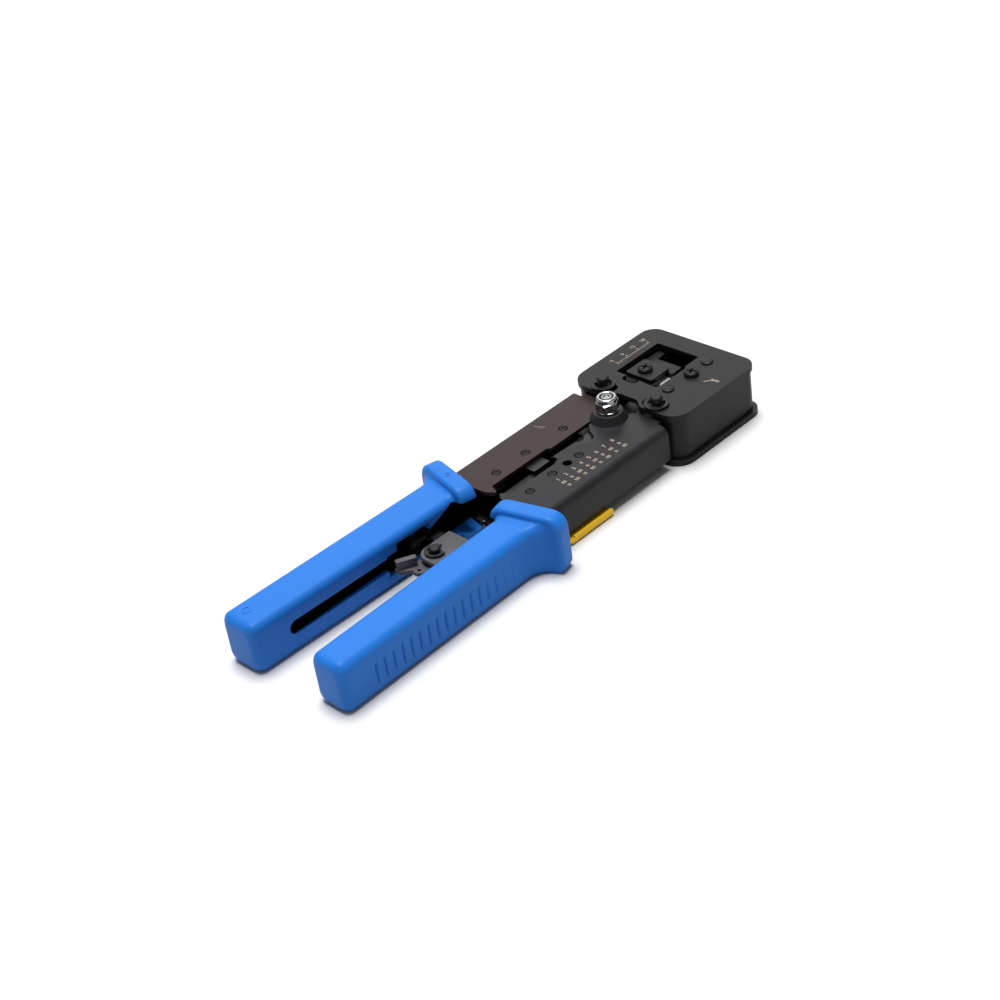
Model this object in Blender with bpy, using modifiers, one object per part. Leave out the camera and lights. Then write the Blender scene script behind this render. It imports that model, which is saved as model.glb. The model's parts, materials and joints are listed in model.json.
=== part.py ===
"""Ratchet crimping tool for eight-way modular plugs, closed, lying on its back.

The frame is in metres with +Z up. +Y runs from the grips to the head and +X to the right handle.
The origin is midway between the two head pins, on the plane that the tool rests on.
Sizes below are in millimetres and MM turns them into metres.

Two handles cross at the main bolt. A pin at the end of each handle slides in a slot of the head,
so opening the handles draws the bolt, and the ram it carries, away from the plug.
"""

import math

import bmesh
import bpy
from mathutils import Matrix, Vector

MM = 0.001
GAP = 0.3
FREE = 24

# Where the mechanism turns
BOLT = (0.0, -12.24)
PIN_X = 12.96
PAWL = (0.0, -103.7)
LEVER = (17.0, -66.0)

# Head
PLATE_X = 26.2
PLATE_TOP = 43.4
PLATE_FOOT = -4.4
FLANGE = 0.7
BACK_Z = (0.0, 2.2)
FRONT_Z = (19.2, 21.2)
DIE_Z = (2.5, 16.0)
BAND_INSET = 0.8
BAND_WALL = 2.0
HEAD_RIVETS = ((9.6, 33.4), (9.6, 10.6))
HEAD_SCREW = (10.4, 23.2)
SLOT_REACH = 3.4

# Plug socket, a little wider than the 11.7 mm plug
SOCKET_X = (-11.3, 1.1)
SOCKET_TOP = 35.6

# Handles: each side's folded back and the outer radius of its bends
CHANNEL_X = {-1: 23.8, 1: 23.2}
BEND = {-1: 1.9, 1: 3.2}
CHANNEL_Z = (2.6, 18.0)
SHEET = 1.5
CUTTER_Z = (14.8, 16.2)
ANVIL_Z = (12.9, 14.4)
RIVET_R = 1.5
LEVER_Z = (0.8, 2.3)
LEVER_LIP_Z = 3.1
LEVER_OUT = 24.5
LOWER_EDGE = 0.4
LOWER_SPAN = (-69.6, -23.6)
TANG_X = 13.7
TANG_END = -160.0
HUB = 4.6
RING = 8.2
EAR = 4.6
DISH_RISE = 3.2
DIMPLE_RISE = 1.8

# Main bolt, an M5 screw with an 8 mm nut
BOLT_R = 2.4
NUT_FLATS = 8.0
NUT_Z = (22.1, 27.2)
PIN_R = 2.4

# Ram
RAM_X = (-15.2, 4.6)
RAM_Z = (4.6, 14.6)
BLADE_Z = (14.9, 16.1)
CARRIER_Z = (16.4, 18.2)
CLAMP_Z = (18.5, 20.0)
CLAMP_SCREW = (-7.8, 18.0)

# Grips: the inner and outer walls at the root and at the end
GRIP_Z = 19.6
GRIP_ROOT = -88.0
GRIP_END = {-1: -175.2, 1: -172.0}
GRIP_IN = {-1: (10.5, 13.0), 1: (9.8, 11.9)}
GRIP_OUT = {-1: (27.2, 29.2), 1: (25.8, 26.8)}
FLARE_Z = 22.4
FLARE_AT = (19.5, -76.5)
FLARE_HALF = (14.0, 3.8)
FLARE_TILT = math.radians(13.6)

# Ratchet, all radii from the main bolt
RACK_TIP = 86.6
RACK_ROOT = 84.4
RACK_INNER = 79.5
RACK_TEETH = 7
RACK_PITCH = math.radians(2.0)
RACK_Z = (8.4, 9.9)
RACK_POST_X = -18.0
RACK_POSTS = (-91.0, -98.0)
BRACKET_RIVETS = (-95.0, -105.0)
BRACKET_Z = (5.4, 12.7)
BRACKET_X = 21.3
PAWL_PIN_R = 2.0


def clear_scene():
    for item in list(bpy.data.objects):
        bpy.data.objects.remove(item, do_unlink=True)
    for group in list(bpy.data.collections):
        bpy.data.collections.remove(group)


def new_collection(name):
    group = bpy.data.collections.new(name)
    bpy.context.scene.collection.children.link(group)
    return group


def new_material(name, colour, roughness, metallic):
    finish = bpy.data.materials.new(name)
    finish.use_nodes = True
    shader = finish.node_tree.nodes["Principled BSDF"]
    shader.inputs["Base Color"].default_value = (*colour, 1.0)
    shader.inputs["Roughness"].default_value = roughness
    shader.inputs["Metallic"].default_value = metallic
    return finish


clear_scene()
PARTS = new_collection("crimping_tool")
CUTTERS = new_collection("cutters")
BLACK = (0.035, 0.034, 0.037)
BROWN = (0.055, 0.045, 0.043)
STEEL = (0.42, 0.42, 0.43)
BLUE = (0.05, 0.24, 0.78)
YELLOW = (0.85, 0.52, 0.02)
BODIES = {}


# Outlines

def rounded(corners, steps=3):
    """Points of an outline whose corners are (x, y), or (x, y, radius) where they are rounded."""
    points = []
    for index, corner in enumerate(corners):
        here = Vector(corner[:2])
        if len(corner) == 2:
            points.append(here)
            continue
        before = (Vector(corners[index - 1][:2]) - here).normalized()
        after = (Vector(corners[(index + 1) % len(corners)][:2]) - here).normalized()
        half = before.angle(after) / 2
        centre = here + (before + after).normalized() * corner[2] / math.sin(half)
        reach = corner[2] / math.tan(half)
        first = here + before * reach - centre
        last = here + after * reach - centre
        start = math.atan2(first.y, first.x)
        sweep = math.remainder(math.atan2(last.y, last.x) - start, math.tau)
        points += arc(centre, corner[2], start, start + sweep, steps)
    return points


def arc(centre, radius, start, end, steps):
    """Points from angle start to angle end, in radians, round a centre."""
    turns = [start + (end - start) * step / steps for step in range(steps + 1)]
    return [Vector((centre[0] + radius * math.cos(a), centre[1] + radius * math.sin(a))) for a in turns]


def circle(centre, radius, sides=FREE):
    return arc(centre, radius, 0.0, math.tau, sides)[:-1]


def slot(first, second, radius):
    """A slot with round ends, between two centres on a line of constant y."""
    left, right = sorted((first, second))
    quarter = math.pi / 2
    return arc(right, radius, -quarter, quarter, 8) + arc(left, radius, quarter, 3 * quarter, 8)


def box_outline(x_low, x_high, y_low, y_high, radius=0.0):
    corners = [(x_low, y_low), (x_high, y_low), (x_high, y_high), (x_low, y_high)]
    return rounded([(*c, radius) for c in corners]) if radius else corners


def mirrored(points, side):
    return [(side * p[0], *p[1:]) for p in points]


# Solids

def add_mesh(name, mesh, place=None):
    item = bpy.data.objects.new(name, mesh)
    CUTTERS.objects.link(item)
    item.matrix_world = place or Matrix.Identity(4)
    item.hide_render = True
    item.display_type = "WIRE"
    return item


def prism(name, outlines, low, high, upright=False):
    """A closed solid between two levels: the first outline is its edge, the others are holes.

    Upright solids take their outline in X and Z, and their levels along Y.
    """
    flat = bpy.data.curves.new(name, "CURVE")
    flat.dimensions = "2D"
    flat.fill_mode = "BOTH"
    flat.extrude = (high - low) / 2 * MM
    for outline in outlines:
        spline = flat.splines.new("POLY")
        spline.points.add(len(outline) - 1)
        spline.use_cyclic_u = True
        for point, place in zip(spline.points, outline):
            point.co = (place[0] * MM, place[1] * MM, 0.0, 1.0)
    guide = bpy.data.objects.new(f"{name}_outline", flat)
    bpy.context.scene.collection.objects.link(guide)
    middle = (low + high) / 2 * MM
    guide.location = (0.0, middle, 0.0) if upright else (0.0, 0.0, middle)
    guide.rotation_euler.x = math.pi / 2 if upright else 0.0
    bpy.context.view_layer.update()
    mesh = bpy.data.meshes.new_from_object(guide.evaluated_get(bpy.context.evaluated_depsgraph_get()))
    work = bmesh.new()
    work.from_mesh(mesh)
    bmesh.ops.remove_doubles(work, verts=work.verts, dist=1e-6)
    bmesh.ops.recalc_face_normals(work, faces=work.faces)
    work.to_mesh(mesh)
    work.free()
    item = add_mesh(name, mesh, guide.matrix_world.copy())
    bpy.data.objects.remove(guide, do_unlink=True)
    bpy.data.curves.remove(flat)
    return item


def plate(name, corners, levels, holes=()):
    return prism(name, [rounded(corners), *holes], *levels)


def block(name, x_span, y_span, z_span):
    return prism(name, [box_outline(*x_span, *y_span)], *z_span)


def cylinder(name, centre, radius, levels, sides=FREE):
    work = bmesh.new()
    depth = (levels[1] - levels[0]) * MM
    size = {"radius1": radius * MM, "radius2": radius * MM, "depth": depth}
    bmesh.ops.create_cone(work, cap_ends=True, segments=sides, **size)
    mesh = bpy.data.meshes.new(name)
    work.to_mesh(mesh)
    work.free()
    place = Vector((centre[0], centre[1], sum(levels) / 2)) * MM
    return add_mesh(name, mesh, Matrix.Translation(place))


def lathe(name, centre, profile, ring=False, sides=FREE):
    """A turned solid about a vertical axis: (radius, height) down its outer side, top to bottom."""
    mesh = bpy.data.meshes.new(name)
    work = bmesh.new()
    verts = [work.verts.new((r * MM, 0.0, z * MM)) for r, z in profile]
    pairs = list(zip(verts, verts[1:]))
    if ring:
        pairs.append((verts[-1], verts[0]))
    for pair in pairs:
        work.edges.new(pair)
    work.to_mesh(mesh)
    work.free()
    item = add_mesh(name, mesh, Matrix.Translation(Vector((centre[0], centre[1], 0.0)) * MM))
    turn = item.modifiers.new("Turn", "SCREW")
    turn.steps = sides
    turn.render_steps = sides
    turn.use_merge_vertices = True
    turn.merge_threshold = 1e-6
    return item


def wire(name, points, radius):
    """A bent wire of round section through points in millimetres."""
    path = bpy.data.curves.new(name, "CURVE")
    path.dimensions = "3D"
    path.bevel_depth = radius * MM
    path.bevel_resolution = 2
    path.use_fill_caps = True
    spline = path.splines.new("POLY")
    spline.points.add(len(points) - 1)
    for point, place in zip(spline.points, points):
        point.co = (*(Vector(place) * MM), 1.0)
    item = bpy.data.objects.new(name, path)
    CUTTERS.objects.link(item)
    return item


def combine(target, tools, operation):
    """Boolean steps. The pressed dishes defeat the exact solver, so their plate uses the other one."""
    for tool in tools:
        step = target.modifiers.new(operation.title(), "BOOLEAN")
        step.operation = operation
        step.solver = "MANIFOLD" if target.name == "right_handle_channel" else "EXACT"
        step.object = tool
    return target


def cut(target, *tools):
    return combine(target, tools, "DIFFERENCE")


def join(target, *tools):
    return combine(target, tools, "UNION")


def soften(item, width, segments=2, angle=30.0):
    edge = item.modifiers.new("Edges", "BEVEL")
    edge.width = width * MM
    edge.segments = segments
    edge.limit_method = "ANGLE"
    edge.angle_limit = math.radians(angle)
    return item


def finish(item, body, colour, roughness=0.4, metallic=0.0):
    """Make a solid a part of the tool: name its material, show it and hang it on its body's axis."""
    CUTTERS.objects.unlink(item)
    PARTS.objects.link(item)
    item.hide_render = False
    item.display_type = "TEXTURED"
    item.data.materials.clear()
    item.data.materials.append(new_material(item.name + "_finish", colour, roughness, metallic))
    axis = BODIES[body]
    item.parent = axis
    item.matrix_parent_inverse = axis.matrix_world.inverted()
    if item.type == "MESH":
        item.data.shade_smooth()
        item.data.set_sharp_from_angle(angle=math.radians(35.0))
    return item


def joint_axis(name, centre, parent=None):
    """An empty on a joint's axis, which the moving pieces hang on."""
    axis = bpy.data.objects.new(name, None)
    PARTS.objects.link(axis)
    axis.location = Vector((centre[0], centre[1], 0.0)) * MM
    axis.empty_display_size = 0.01
    bpy.context.view_layer.update()
    if parent:
        axis.parent = BODIES[parent]
        axis.matrix_parent_inverse = BODIES[parent].matrix_world.inverted()
        bpy.context.view_layer.update()
    BODIES[name.removesuffix("_axis")] = axis


# Head

def head_outline(grow, foot_radius=7.5, top_radius=6.0):
    wide = PLATE_X + grow
    top = PLATE_TOP + grow
    foot = PLATE_FOOT - grow
    arch = [(8.6, foot, 3.0), (4.4, foot + 3.2, 3.0), (-4.4, foot + 3.2, 3.0), (-8.6, foot, 3.0)]
    bottom = [(wide, foot, foot_radius), *arch, (-wide, foot, foot_radius)]
    return [*bottom, (-wide, top, top_radius), (wide, top, top_radius)]


def pin_slots():
    reach = PIN_R + 0.35
    slots = []
    for side in (-1, 1):
        slots.append(slot((side * (PIN_X + 0.1), 0.0), (side * (PIN_X - SLOT_REACH - 0.1), 0.0), reach))
    return slots


def build_head():
    fastener_holes = [circle(place, 1.6 + GAP, 16) for place in HEAD_RIVETS]
    screw_hole = circle(HEAD_SCREW, 1.6 + GAP, 16)
    socket = [
        (SOCKET_X[0], 26.0), (SOCKET_X[1], 26.0), (SOCKET_X[1], SOCKET_TOP), (-2.2, SOCKET_TOP),
        (-2.2, 37.4), (-8.0, 37.4), (-8.0, SOCKET_TOP), (SOCKET_X[0], SOCKET_TOP),
    ]
    back_holes = [socket, *pin_slots(), *fastener_holes, screw_hole]
    back = plate("back_plate", head_outline(FLANGE), BACK_Z, back_holes)
    finish(soften(back, 0.5, 1), "head", BLACK)
    window = rounded([
        (-15.44, 34.64, 0.6), (-15.44, 10.2, 0.8), (-10.6, 10.2), (-10.4, 6.8, 1.8), (-3.6, 6.8, 1.8),
        (-3.4, 9.8), (0.2, 9.2, 1.0), (5.4, 9.2, 1.5), (5.6, 25.6, 1.0), (4.64, 26.4, 1.0), (4.64, 34.64, 0.6),
    ])
    front_holes = [window, *pin_slots(), *fastener_holes, screw_hole]
    front = plate("front_plate", head_outline(0.0), FRONT_Z, front_holes)
    finish(soften(front, 0.35, 1), "head", BLACK)
    finish(head_band(), "head", BLACK)
    finish(die_block(fastener_holes, screw_hole), "head", STEEL, 0.35, 1.0)
    for index, place in enumerate(HEAD_RIVETS, 1):
        finish(head_rivet(f"head_rivet_{index}", place), "head", BLACK)
    finish(panhead_screw("head_screw", HEAD_SCREW, FRONT_Z[1] + 0.15, 2.6, 2.9), "head", BLACK)
    for index, place in enumerate((*HEAD_RIVETS, HEAD_SCREW), 1):
        finish(spacer(f"spacer_tube_{index}", place), "head", STEEL, 0.4, 1.0)


def head_band():
    """The side wall of the head: a strip round its top and sides, open where the handles enter."""
    wide = PLATE_X - BAND_INSET
    top = PLATE_TOP - BAND_INSET
    foot = PLATE_FOOT + BAND_INSET
    outer, tight = 6.7, 5.2
    corner = (wide - outer, foot + outer)
    quarter = math.pi / 2
    right = arc(corner, outer, -quarter, 0.0, 8)
    inner_right = arc(corner, outer - BAND_WALL, 0.0, -quarter, 8)
    top_centre = (wide - tight, top - tight)
    right += arc(top_centre, tight, 0.0, quarter, 6)
    inner_right = arc(top_centre, tight - BAND_WALL, quarter, 0.0, 6) + inner_right
    left = [(-p[0], p[1]) for p in reversed(right)]
    inner_left = [(-p[0], p[1]) for p in reversed(inner_right)]
    return prism("head_band", [right + left + inner_left + inner_right], BACK_Z[1] + GAP, FRONT_Z[0] - GAP)


def die_block(fastener_holes, screw_hole):
    """The fixed die: a frame round the ram, with the socket and its latch groove at the top."""
    outline = [
        (-18.2, 8.6, 1.0), (-15.6, 8.6), (-15.6, 26.4), (SOCKET_X[0], 26.4), (SOCKET_X[0], SOCKET_TOP),
        (-8.0, SOCKET_TOP), (-8.0, 37.4), (-2.2, 37.4), (-2.2, SOCKET_TOP), (SOCKET_X[1], SOCKET_TOP),
        (SOCKET_X[1], 26.4), (5.0, 26.4), (5.0, 8.6), (14.0, 8.6, 1.0), (14.0, 39.6, 1.0), (-18.2, 39.6, 1.0),
    ]
    return plate("die_block", outline, DIE_Z, [*fastener_holes, screw_hole])


def head_rivet(name, place):
    top = FRONT_Z[1] + 0.15
    dome = [(0.0, top + 0.7), (1.5, top + 0.65), (2.2, top + 0.4), (2.4, top), (1.6, top)]
    return lathe(name, place, [*dome, (1.6, 0.3), (0.0, 0.3)], sides=16)


def spacer(name, place):
    return lathe(name, place, ring_profile(1.9, 3.2, DIE_Z[1] + GAP, FRONT_Z[0] - GAP), ring=True, sides=16)


def panhead_screw(name, place, base, shank_end, radius):
    """A pan-head screw with a cross recess; its shank runs down to a level below the head."""
    height = 1.7
    profile = [
        (0.0, base + height), (radius * 0.62, base + height), (radius * 0.9, base + height * 0.7),
        (radius, base + 0.3), (radius, base), (1.5, base), (1.5, shank_end), (0.0, shank_end),
    ]
    screw = lathe(name, place, profile, sides=20)
    arms = []
    for along, across in ((1.6, 0.45), (0.45, 1.6)):
        spans = ((place[0] - along, place[0] + along), (place[1] - across, place[1] + across))
        arms.append(block(f"{name}_recess", *spans, (base + 0.6, base + height + 1.0)))
    return cut(screw, join(*arms))


# Ram, with the main bolt that carries it

def build_ram():
    neck = 4.4
    top, foot = 25.6, 7.4
    hub = arc(BOLT, neck, math.pi, math.tau, 10)
    shoulders = [(RAM_X[1], foot + 0.3), (RAM_X[1], top), (RAM_X[0], top), (RAM_X[0], foot + 1.0)]
    outline = [*hub, (neck, foot), *shoulders, (-neck, foot + 0.4)]
    body = prism("ram_slide", [outline, circle(BOLT, BOLT_R + GAP)], *RAM_Z)
    blind = cylinder("ram_screw_hole", CLAMP_SCREW, 1.5 + GAP, (10.6, RAM_Z[1] + 1.0), 16)
    under_neck = block("ram_neck_relief", (-8.0, 8.0), (-20.0, 6.0), (RAM_Z[0] - 1.0, 10.4))
    finish(cut(body, blind, under_neck), "ram", STEEL, 0.35, 1.0)
    finish(crimp_punch(), "ram", STEEL, 0.3, 1.0)
    hole = circle(CLAMP_SCREW, 1.5 + GAP, 16)
    blade = [
        (-11.0, 12.4), (-0.6, 12.4), (-0.6, 16.2), (2.8, 16.2), (2.8, 23.8), (-0.6, 23.8), (-0.6, 28.4), (-11.0, 28.4),
    ]
    finish(plate("trim_blade", blade, BLADE_Z, [hole]), "ram", STEEL, 0.18, 1.0)
    carrier = [
        (-15.0, 33.8, 0.6), (-15.0, 15.0), (-14.2, 15.0), (-14.2, 11.0, 1.2), (-7.8, 11.0, 1.2), (-7.8, 13.0),
        (0.24, 13.0, 0.5), (0.24, 16.6), (-3.0, 16.6), (-3.0, 23.4), (0.64, 23.4, 0.5), (0.64, 29.1, 0.8),
        (-11.4, 29.1), (-11.4, 33.8, 0.6),
    ]
    finish(plate("blade_carrier", carrier, CARRIER_Z, [hole]), "ram", BLACK)
    clamp = plate("blade_clamp_plate", box_corners(-13.7, -1.1, 13.4, 24.4, 1.0), CLAMP_Z, [hole])
    finish(soften(clamp, 0.3, 1), "ram", BLACK)
    finish(panhead_screw("clamp_screw", CLAMP_SCREW, CLAMP_Z[1] + 0.15, 11.0, 2.9), "ram", BLACK)
    build_pivot()


def box_corners(x_low, x_high, y_low, y_high, radius):
    return [(x_low, y_low, radius), (x_high, y_low, radius), (x_high, y_high, radius), (x_low, y_high, radius)]


def crimp_punch():
    """Eight teeth on one bar, at the pitch of the plug's contacts."""
    pitch = 1.02
    centre = sum(SOCKET_X) / 2
    foot, shoulder, tip = 25.9, 28.0, 29.2
    points = [(SOCKET_X[0] + 0.4, foot), (SOCKET_X[1] - 0.4, foot), (SOCKET_X[1] - 0.4, shoulder)]
    for index in reversed(range(8)):
        middle = centre + (index - 3.5) * pitch
        points += [(middle + 0.28, shoulder), (middle + 0.2, tip), (middle - 0.2, tip), (middle - 0.28, shoulder)]
    points.append((SOCKET_X[0] + 0.4, shoulder))
    return prism("crimp_punch", [points], 6.0, 9.5)


def build_pivot():
    head = [(0.0, 27.0), (1.9, 27.0), (BOLT_R, 26.5), (BOLT_R, 2.2), (4.6, 2.2), (4.6, 1.0), (3.9, 0.5), (0.0, 0.5)]
    finish(lathe("main_bolt", BOLT, head), "ram", STEEL, 0.3, 1.0)
    across = NUT_FLATS / 2 / math.cos(math.pi / 6)
    low, high = NUT_Z
    blank = [(3.5, high), (3.9, high - 0.6), (5.2, high - 1.8), (5.2, low), (2.6, low), (2.6, high)]
    nut = lathe("lock_nut", BOLT, blank, ring=True)
    hexagon = prism("nut_flats_cutter", [circle(BOLT, across, 6)], low - 1.0, high + 1.0)
    finish(combine(nut, [hexagon], "INTERSECT"), "ram", (0.75, 0.76, 0.78), 0.15, 1.0)
    top = CHANNEL_Z[1] + DISH_RISE + 0.15
    washer = lathe("nut_washer", BOLT, ring_profile(2.6, 4.3, top, NUT_Z[0] - 0.1), ring=True)
    finish(washer, "ram", (0.75, 0.76, 0.78), 0.2, 1.0)
    bush = lathe("pivot_bush", BOLT, ring_profile(2.6, 3.3, 6.2, 10.1), ring=True)
    finish(bush, "ram", (0.62, 0.5, 0.22), 0.35, 1.0)
    finish(return_spring(), "ram", STEEL, 0.3, 1.0)


def ring_profile(inner, outer, low, high):
    return [(outer, high), (outer, low), (inner, low), (inner, high)]


def return_spring():
    """A torsion spring round the bush: its two legs run down inside the handles."""
    radius, rise, turns, steps = 4.3, 2.5, 2.5, 12
    low = 6.9
    points = []
    for step in range(int(turns * steps) + 1):
        angle = math.tau * step / steps
        height = low + rise * step / (turns * steps)
        points.append((BOLT[0] + radius * math.cos(angle), BOLT[1] + radius * math.sin(angle), height))
    right_leg = (BOLT[0] + radius + 4.2, BOLT[1] - 21.0, low)
    left_leg = (BOLT[0] - radius - 4.2, BOLT[1] - 21.0, low + rise)
    return wire("return_spring", [right_leg, *points, left_leg], 0.5)


# Handles

def handle_plan(side):
    """The handle's outline in plan, from its tang in the grip to its ear in the head."""
    pin = (side * PIN_X, 0.0)
    outside = side * (CHANNEL_X[side] + 1.0)
    tang = [(side * TANG_X, TANG_END), (outside, TANG_END)]
    shoulder = [(outside, -6.4), (side * 18.2, -6.4)]
    if side > 0:
        ear = arc(pin, EAR, math.radians(-20.0), math.radians(133.4), 10)
        hub = arc(BOLT, RING, math.radians(133.4), math.radians(249.0), 10)
        notch = arc((1.4, -27.4), 3.4, math.radians(60.0), math.radians(-50.0), 5)
        inner = [
            (0.0, -22.8), *notch, (1.0, -32.4), (1.0, -40.0), (2.8, -43.6), (3.8, -46.4), (3.8, -67.6),
            (0.0, -70.64), (2.6, -72.8), (TANG_X, -73.4),
        ]
    else:
        ear = arc(pin, EAR, math.radians(200.0), math.radians(46.6), 10)
        hub = arc(BOLT, HUB, math.radians(46.6), math.radians(-125.0), 12)
        inner = [
            (-4.2, -18.4), (-4.2, -39.2), (-5.5, -40.4), (-5.5, -68.8), (-1.0, -70.64),
            (-5.0, -72.8), (-TANG_X, -73.4),
        ]
    return [*tang, *shoulder, *ear, *hub, *inner]


def channel(name, side, outer_x, inner_x, levels, bend, span):
    """A folded C-section of sheet with its back outwards, along Y."""
    low, high = levels
    section = [
        (inner_x, low), (outer_x, low, bend), (outer_x, high, bend), (inner_x, high), (inner_x, high - SHEET),
        (outer_x - SHEET, high - SHEET, bend - SHEET), (outer_x - SHEET, low + SHEET, bend - SHEET),
        (inner_x, low + SHEET),
    ]
    return prism(name, [rounded(mirrored(section, side))], *span, upright=True)


def dish(name, flat_low, rise, foot_low):
    """A pressed dish round the main bolt: a flat top, a sloping wall and a foot in the plate."""
    flat_high = flat_low + SHEET
    foot_high = foot_low + SHEET - 0.2
    crown = HUB + 0.6
    rim = crown + (1.7 if rise > 2.0 else 1.2)
    outside = [(crown + 0.4, flat_high), (rim + 0.5, foot_high), (8.0, foot_high)]
    inside = [(8.0, foot_low + 0.1), (rim, foot_low + 0.1), (crown, flat_low)]
    bore = [(BOLT_R + GAP, flat_low), (BOLT_R + GAP, flat_high)]
    return lathe(name, BOLT, [*outside, *inside, *bore], ring=True)


def sector(name, levels):
    """The wedge that the left handle's ear sweeps beside the right handle's plates."""
    near, far, end = math.radians(50.0), math.radians(66.0), math.radians(247.0)
    outline = [Vector(BOLT), *arc(BOLT, 10.5, near, far, 2), *arc(BOLT, 17.0, far, end, 10)]
    return prism(name, [outline], *levels)


def build_handle(name, side, body, colour, rivets, spare_holes=()):
    reach = -9.5 if side > 0 else -7.0
    item = channel(name, side, CHANNEL_X[side], reach, CHANNEL_Z, BEND[side], (TANG_END - 1.0, EAR + 2.0))
    pin_hole = circle((side * PIN_X, 0.0), PIN_R + GAP)
    hub_hole = circle(BOLT, 7.1 if side > 0 else BOLT_R + GAP)
    plan = prism(f"{name}_plan", [handle_plan(side), pin_hole, hub_hole], 0.0, 30.0)
    combine(item, [plan], "INTERSECT")
    lower = spans(side, (LOWER_EDGE, 6.6), LOWER_SPAN, (CHANNEL_Z[0], CHANNEL_Z[0] + SHEET))
    join(item, block(f"{name}_lower_edge", *lower))
    if side > 0:
        dome = dish("top_dish", CHANNEL_Z[1] - SHEET + DISH_RISE, DISH_RISE, CHANNEL_Z[1] - SHEET)
        dimple = dish("bottom_dish", CHANNEL_Z[0] + DIMPLE_RISE, DIMPLE_RISE, CHANNEL_Z[0])
        join(item, dome, dimple)
        cut(item, sector("top_sweep", (15.0, 18.35)), sector("bottom_sweep", (1.0, 4.3)))
    for index, place in enumerate((*rivets, *spare_holes)):
        cut(item, cylinder(f"{name}_hole_{index}", place, RIVET_R + GAP, (15.6, 19.0), 16))
    return finish(item, body, colour, 0.45, 0.3)


def flush_rivets(side_name, places, foot, colour):
    """Rivets that hold the cutters: flush with the handle's top, with a foot under the cutter."""
    shank = [(0.0, 18.1), (1.2, 18.1), (RIVET_R, 17.9), (RIVET_R, foot), (2.4, foot)]
    profile = [*shank, (2.4, foot - 0.6), (0.0, foot - 0.6)]
    for index, place in enumerate(places, 1):
        rivet = lathe(f"{side_name}_blade_rivet_{index}", place, profile, sides=16)
        finish(rivet, f"{side_name}_handle", colour, 0.4, 0.4)


def head_pin(name, side, body):
    clip = FRONT_Z[1] + 0.25
    profile = [
        (0.0, 25.0), (1.9, 25.0), (PIN_R, 24.5), (PIN_R, clip + 1.1), (1.5, clip + 1.1), (1.5, clip - 0.15),
        (PIN_R, clip - 0.15), (PIN_R, 16.2), (3.4, 16.2), (3.4, 4.4), (PIN_R, 4.4), (PIN_R, 0.7), (1.9, 0.3), (0.0, 0.3),
    ]
    finish(lathe(name, (side * PIN_X, 0.0), profile), body, BLACK, 0.35, 0.6)


def retaining_clip(name, centre, outer, inner, levels, facing):
    """A spring clip: a ring with a mouth that faces a given direction."""
    mouth = math.radians(38.0)
    outside = arc(centre, outer, facing + mouth, facing + math.tau - mouth, 20)
    inside = arc(centre, inner, facing + math.tau - mouth, facing + mouth, 16)
    return prism(name, [outside + inside], *levels)


def build_grip(name, side, body, notch=()):
    """A grip on one tang. Its inner wall is open for the ratchet, as an outline of (y, z) corners."""
    end, inner, outer = GRIP_END[side], GRIP_IN[side], GRIP_OUT[side]
    plan = mirrored([
        (inner[0], -78.0), (inner[0], GRIP_ROOT), (inner[1], end, 4.5), (outer[1], end, 4.5),
        (outer[0], GRIP_ROOT), (outer[0], -78.0),
    ], side)
    item = soften(plate(name, plan, (0.0, GRIP_Z)), 2.4, 3)
    half_x, half_y = FLARE_HALF
    face = rounded([(-half_x, 0.0, 4.0), (half_x, 0.0, 4.0), (half_x, FLARE_Z, 6.0), (-half_x, FLARE_Z, 6.0)])
    flare = soften(prism(f"{name}_flare", [face], -half_y, half_y, upright=True), 1.6, 2)
    place = Vector((side * FLARE_AT[0], FLARE_AT[1], 0.0)) * MM
    flare.matrix_world = Matrix.Translation(place) @ Matrix.Rotation(side * FLARE_TILT, 4, "Z") @ flare.matrix_world
    join(item, flare)
    cavity_x = (TANG_X - GAP, CHANNEL_X[side] + GAP)
    cavity = block(f"{name}_cavity", *spans(side, cavity_x, (-162.0, -60.0), (2.3, 18.3)))
    gate = [(-116.0, 4.6), (-60.0, 4.6), (-60.0, 18.0), (-84.0, 18.0), (-95.6, 13.4), *notch, (-116.0, 13.4)]
    slit = rounded([(-160.0, 7.2, 2.5), (-112.0, 7.2), (-112.0, 12.6), (-160.0, 12.6, 2.5)])
    for label, opening in (("gate", gate), ("slit", slit)):
        levels = sorted((-side * 4.0, -side * 14.0))
        tool = prism(f"{name}_{label}", [opening], *levels, upright=True)
        tool.matrix_world = Matrix.Rotation(math.pi / 2, 4, "Z") @ tool.matrix_world
        cut(item, tool)
    return finish(cut(item, cavity), body, BLUE, 0.42)


def spans(side, x_span, y_span, z_span):
    return tuple(sorted(side * x for x in x_span)), y_span, z_span


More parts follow.
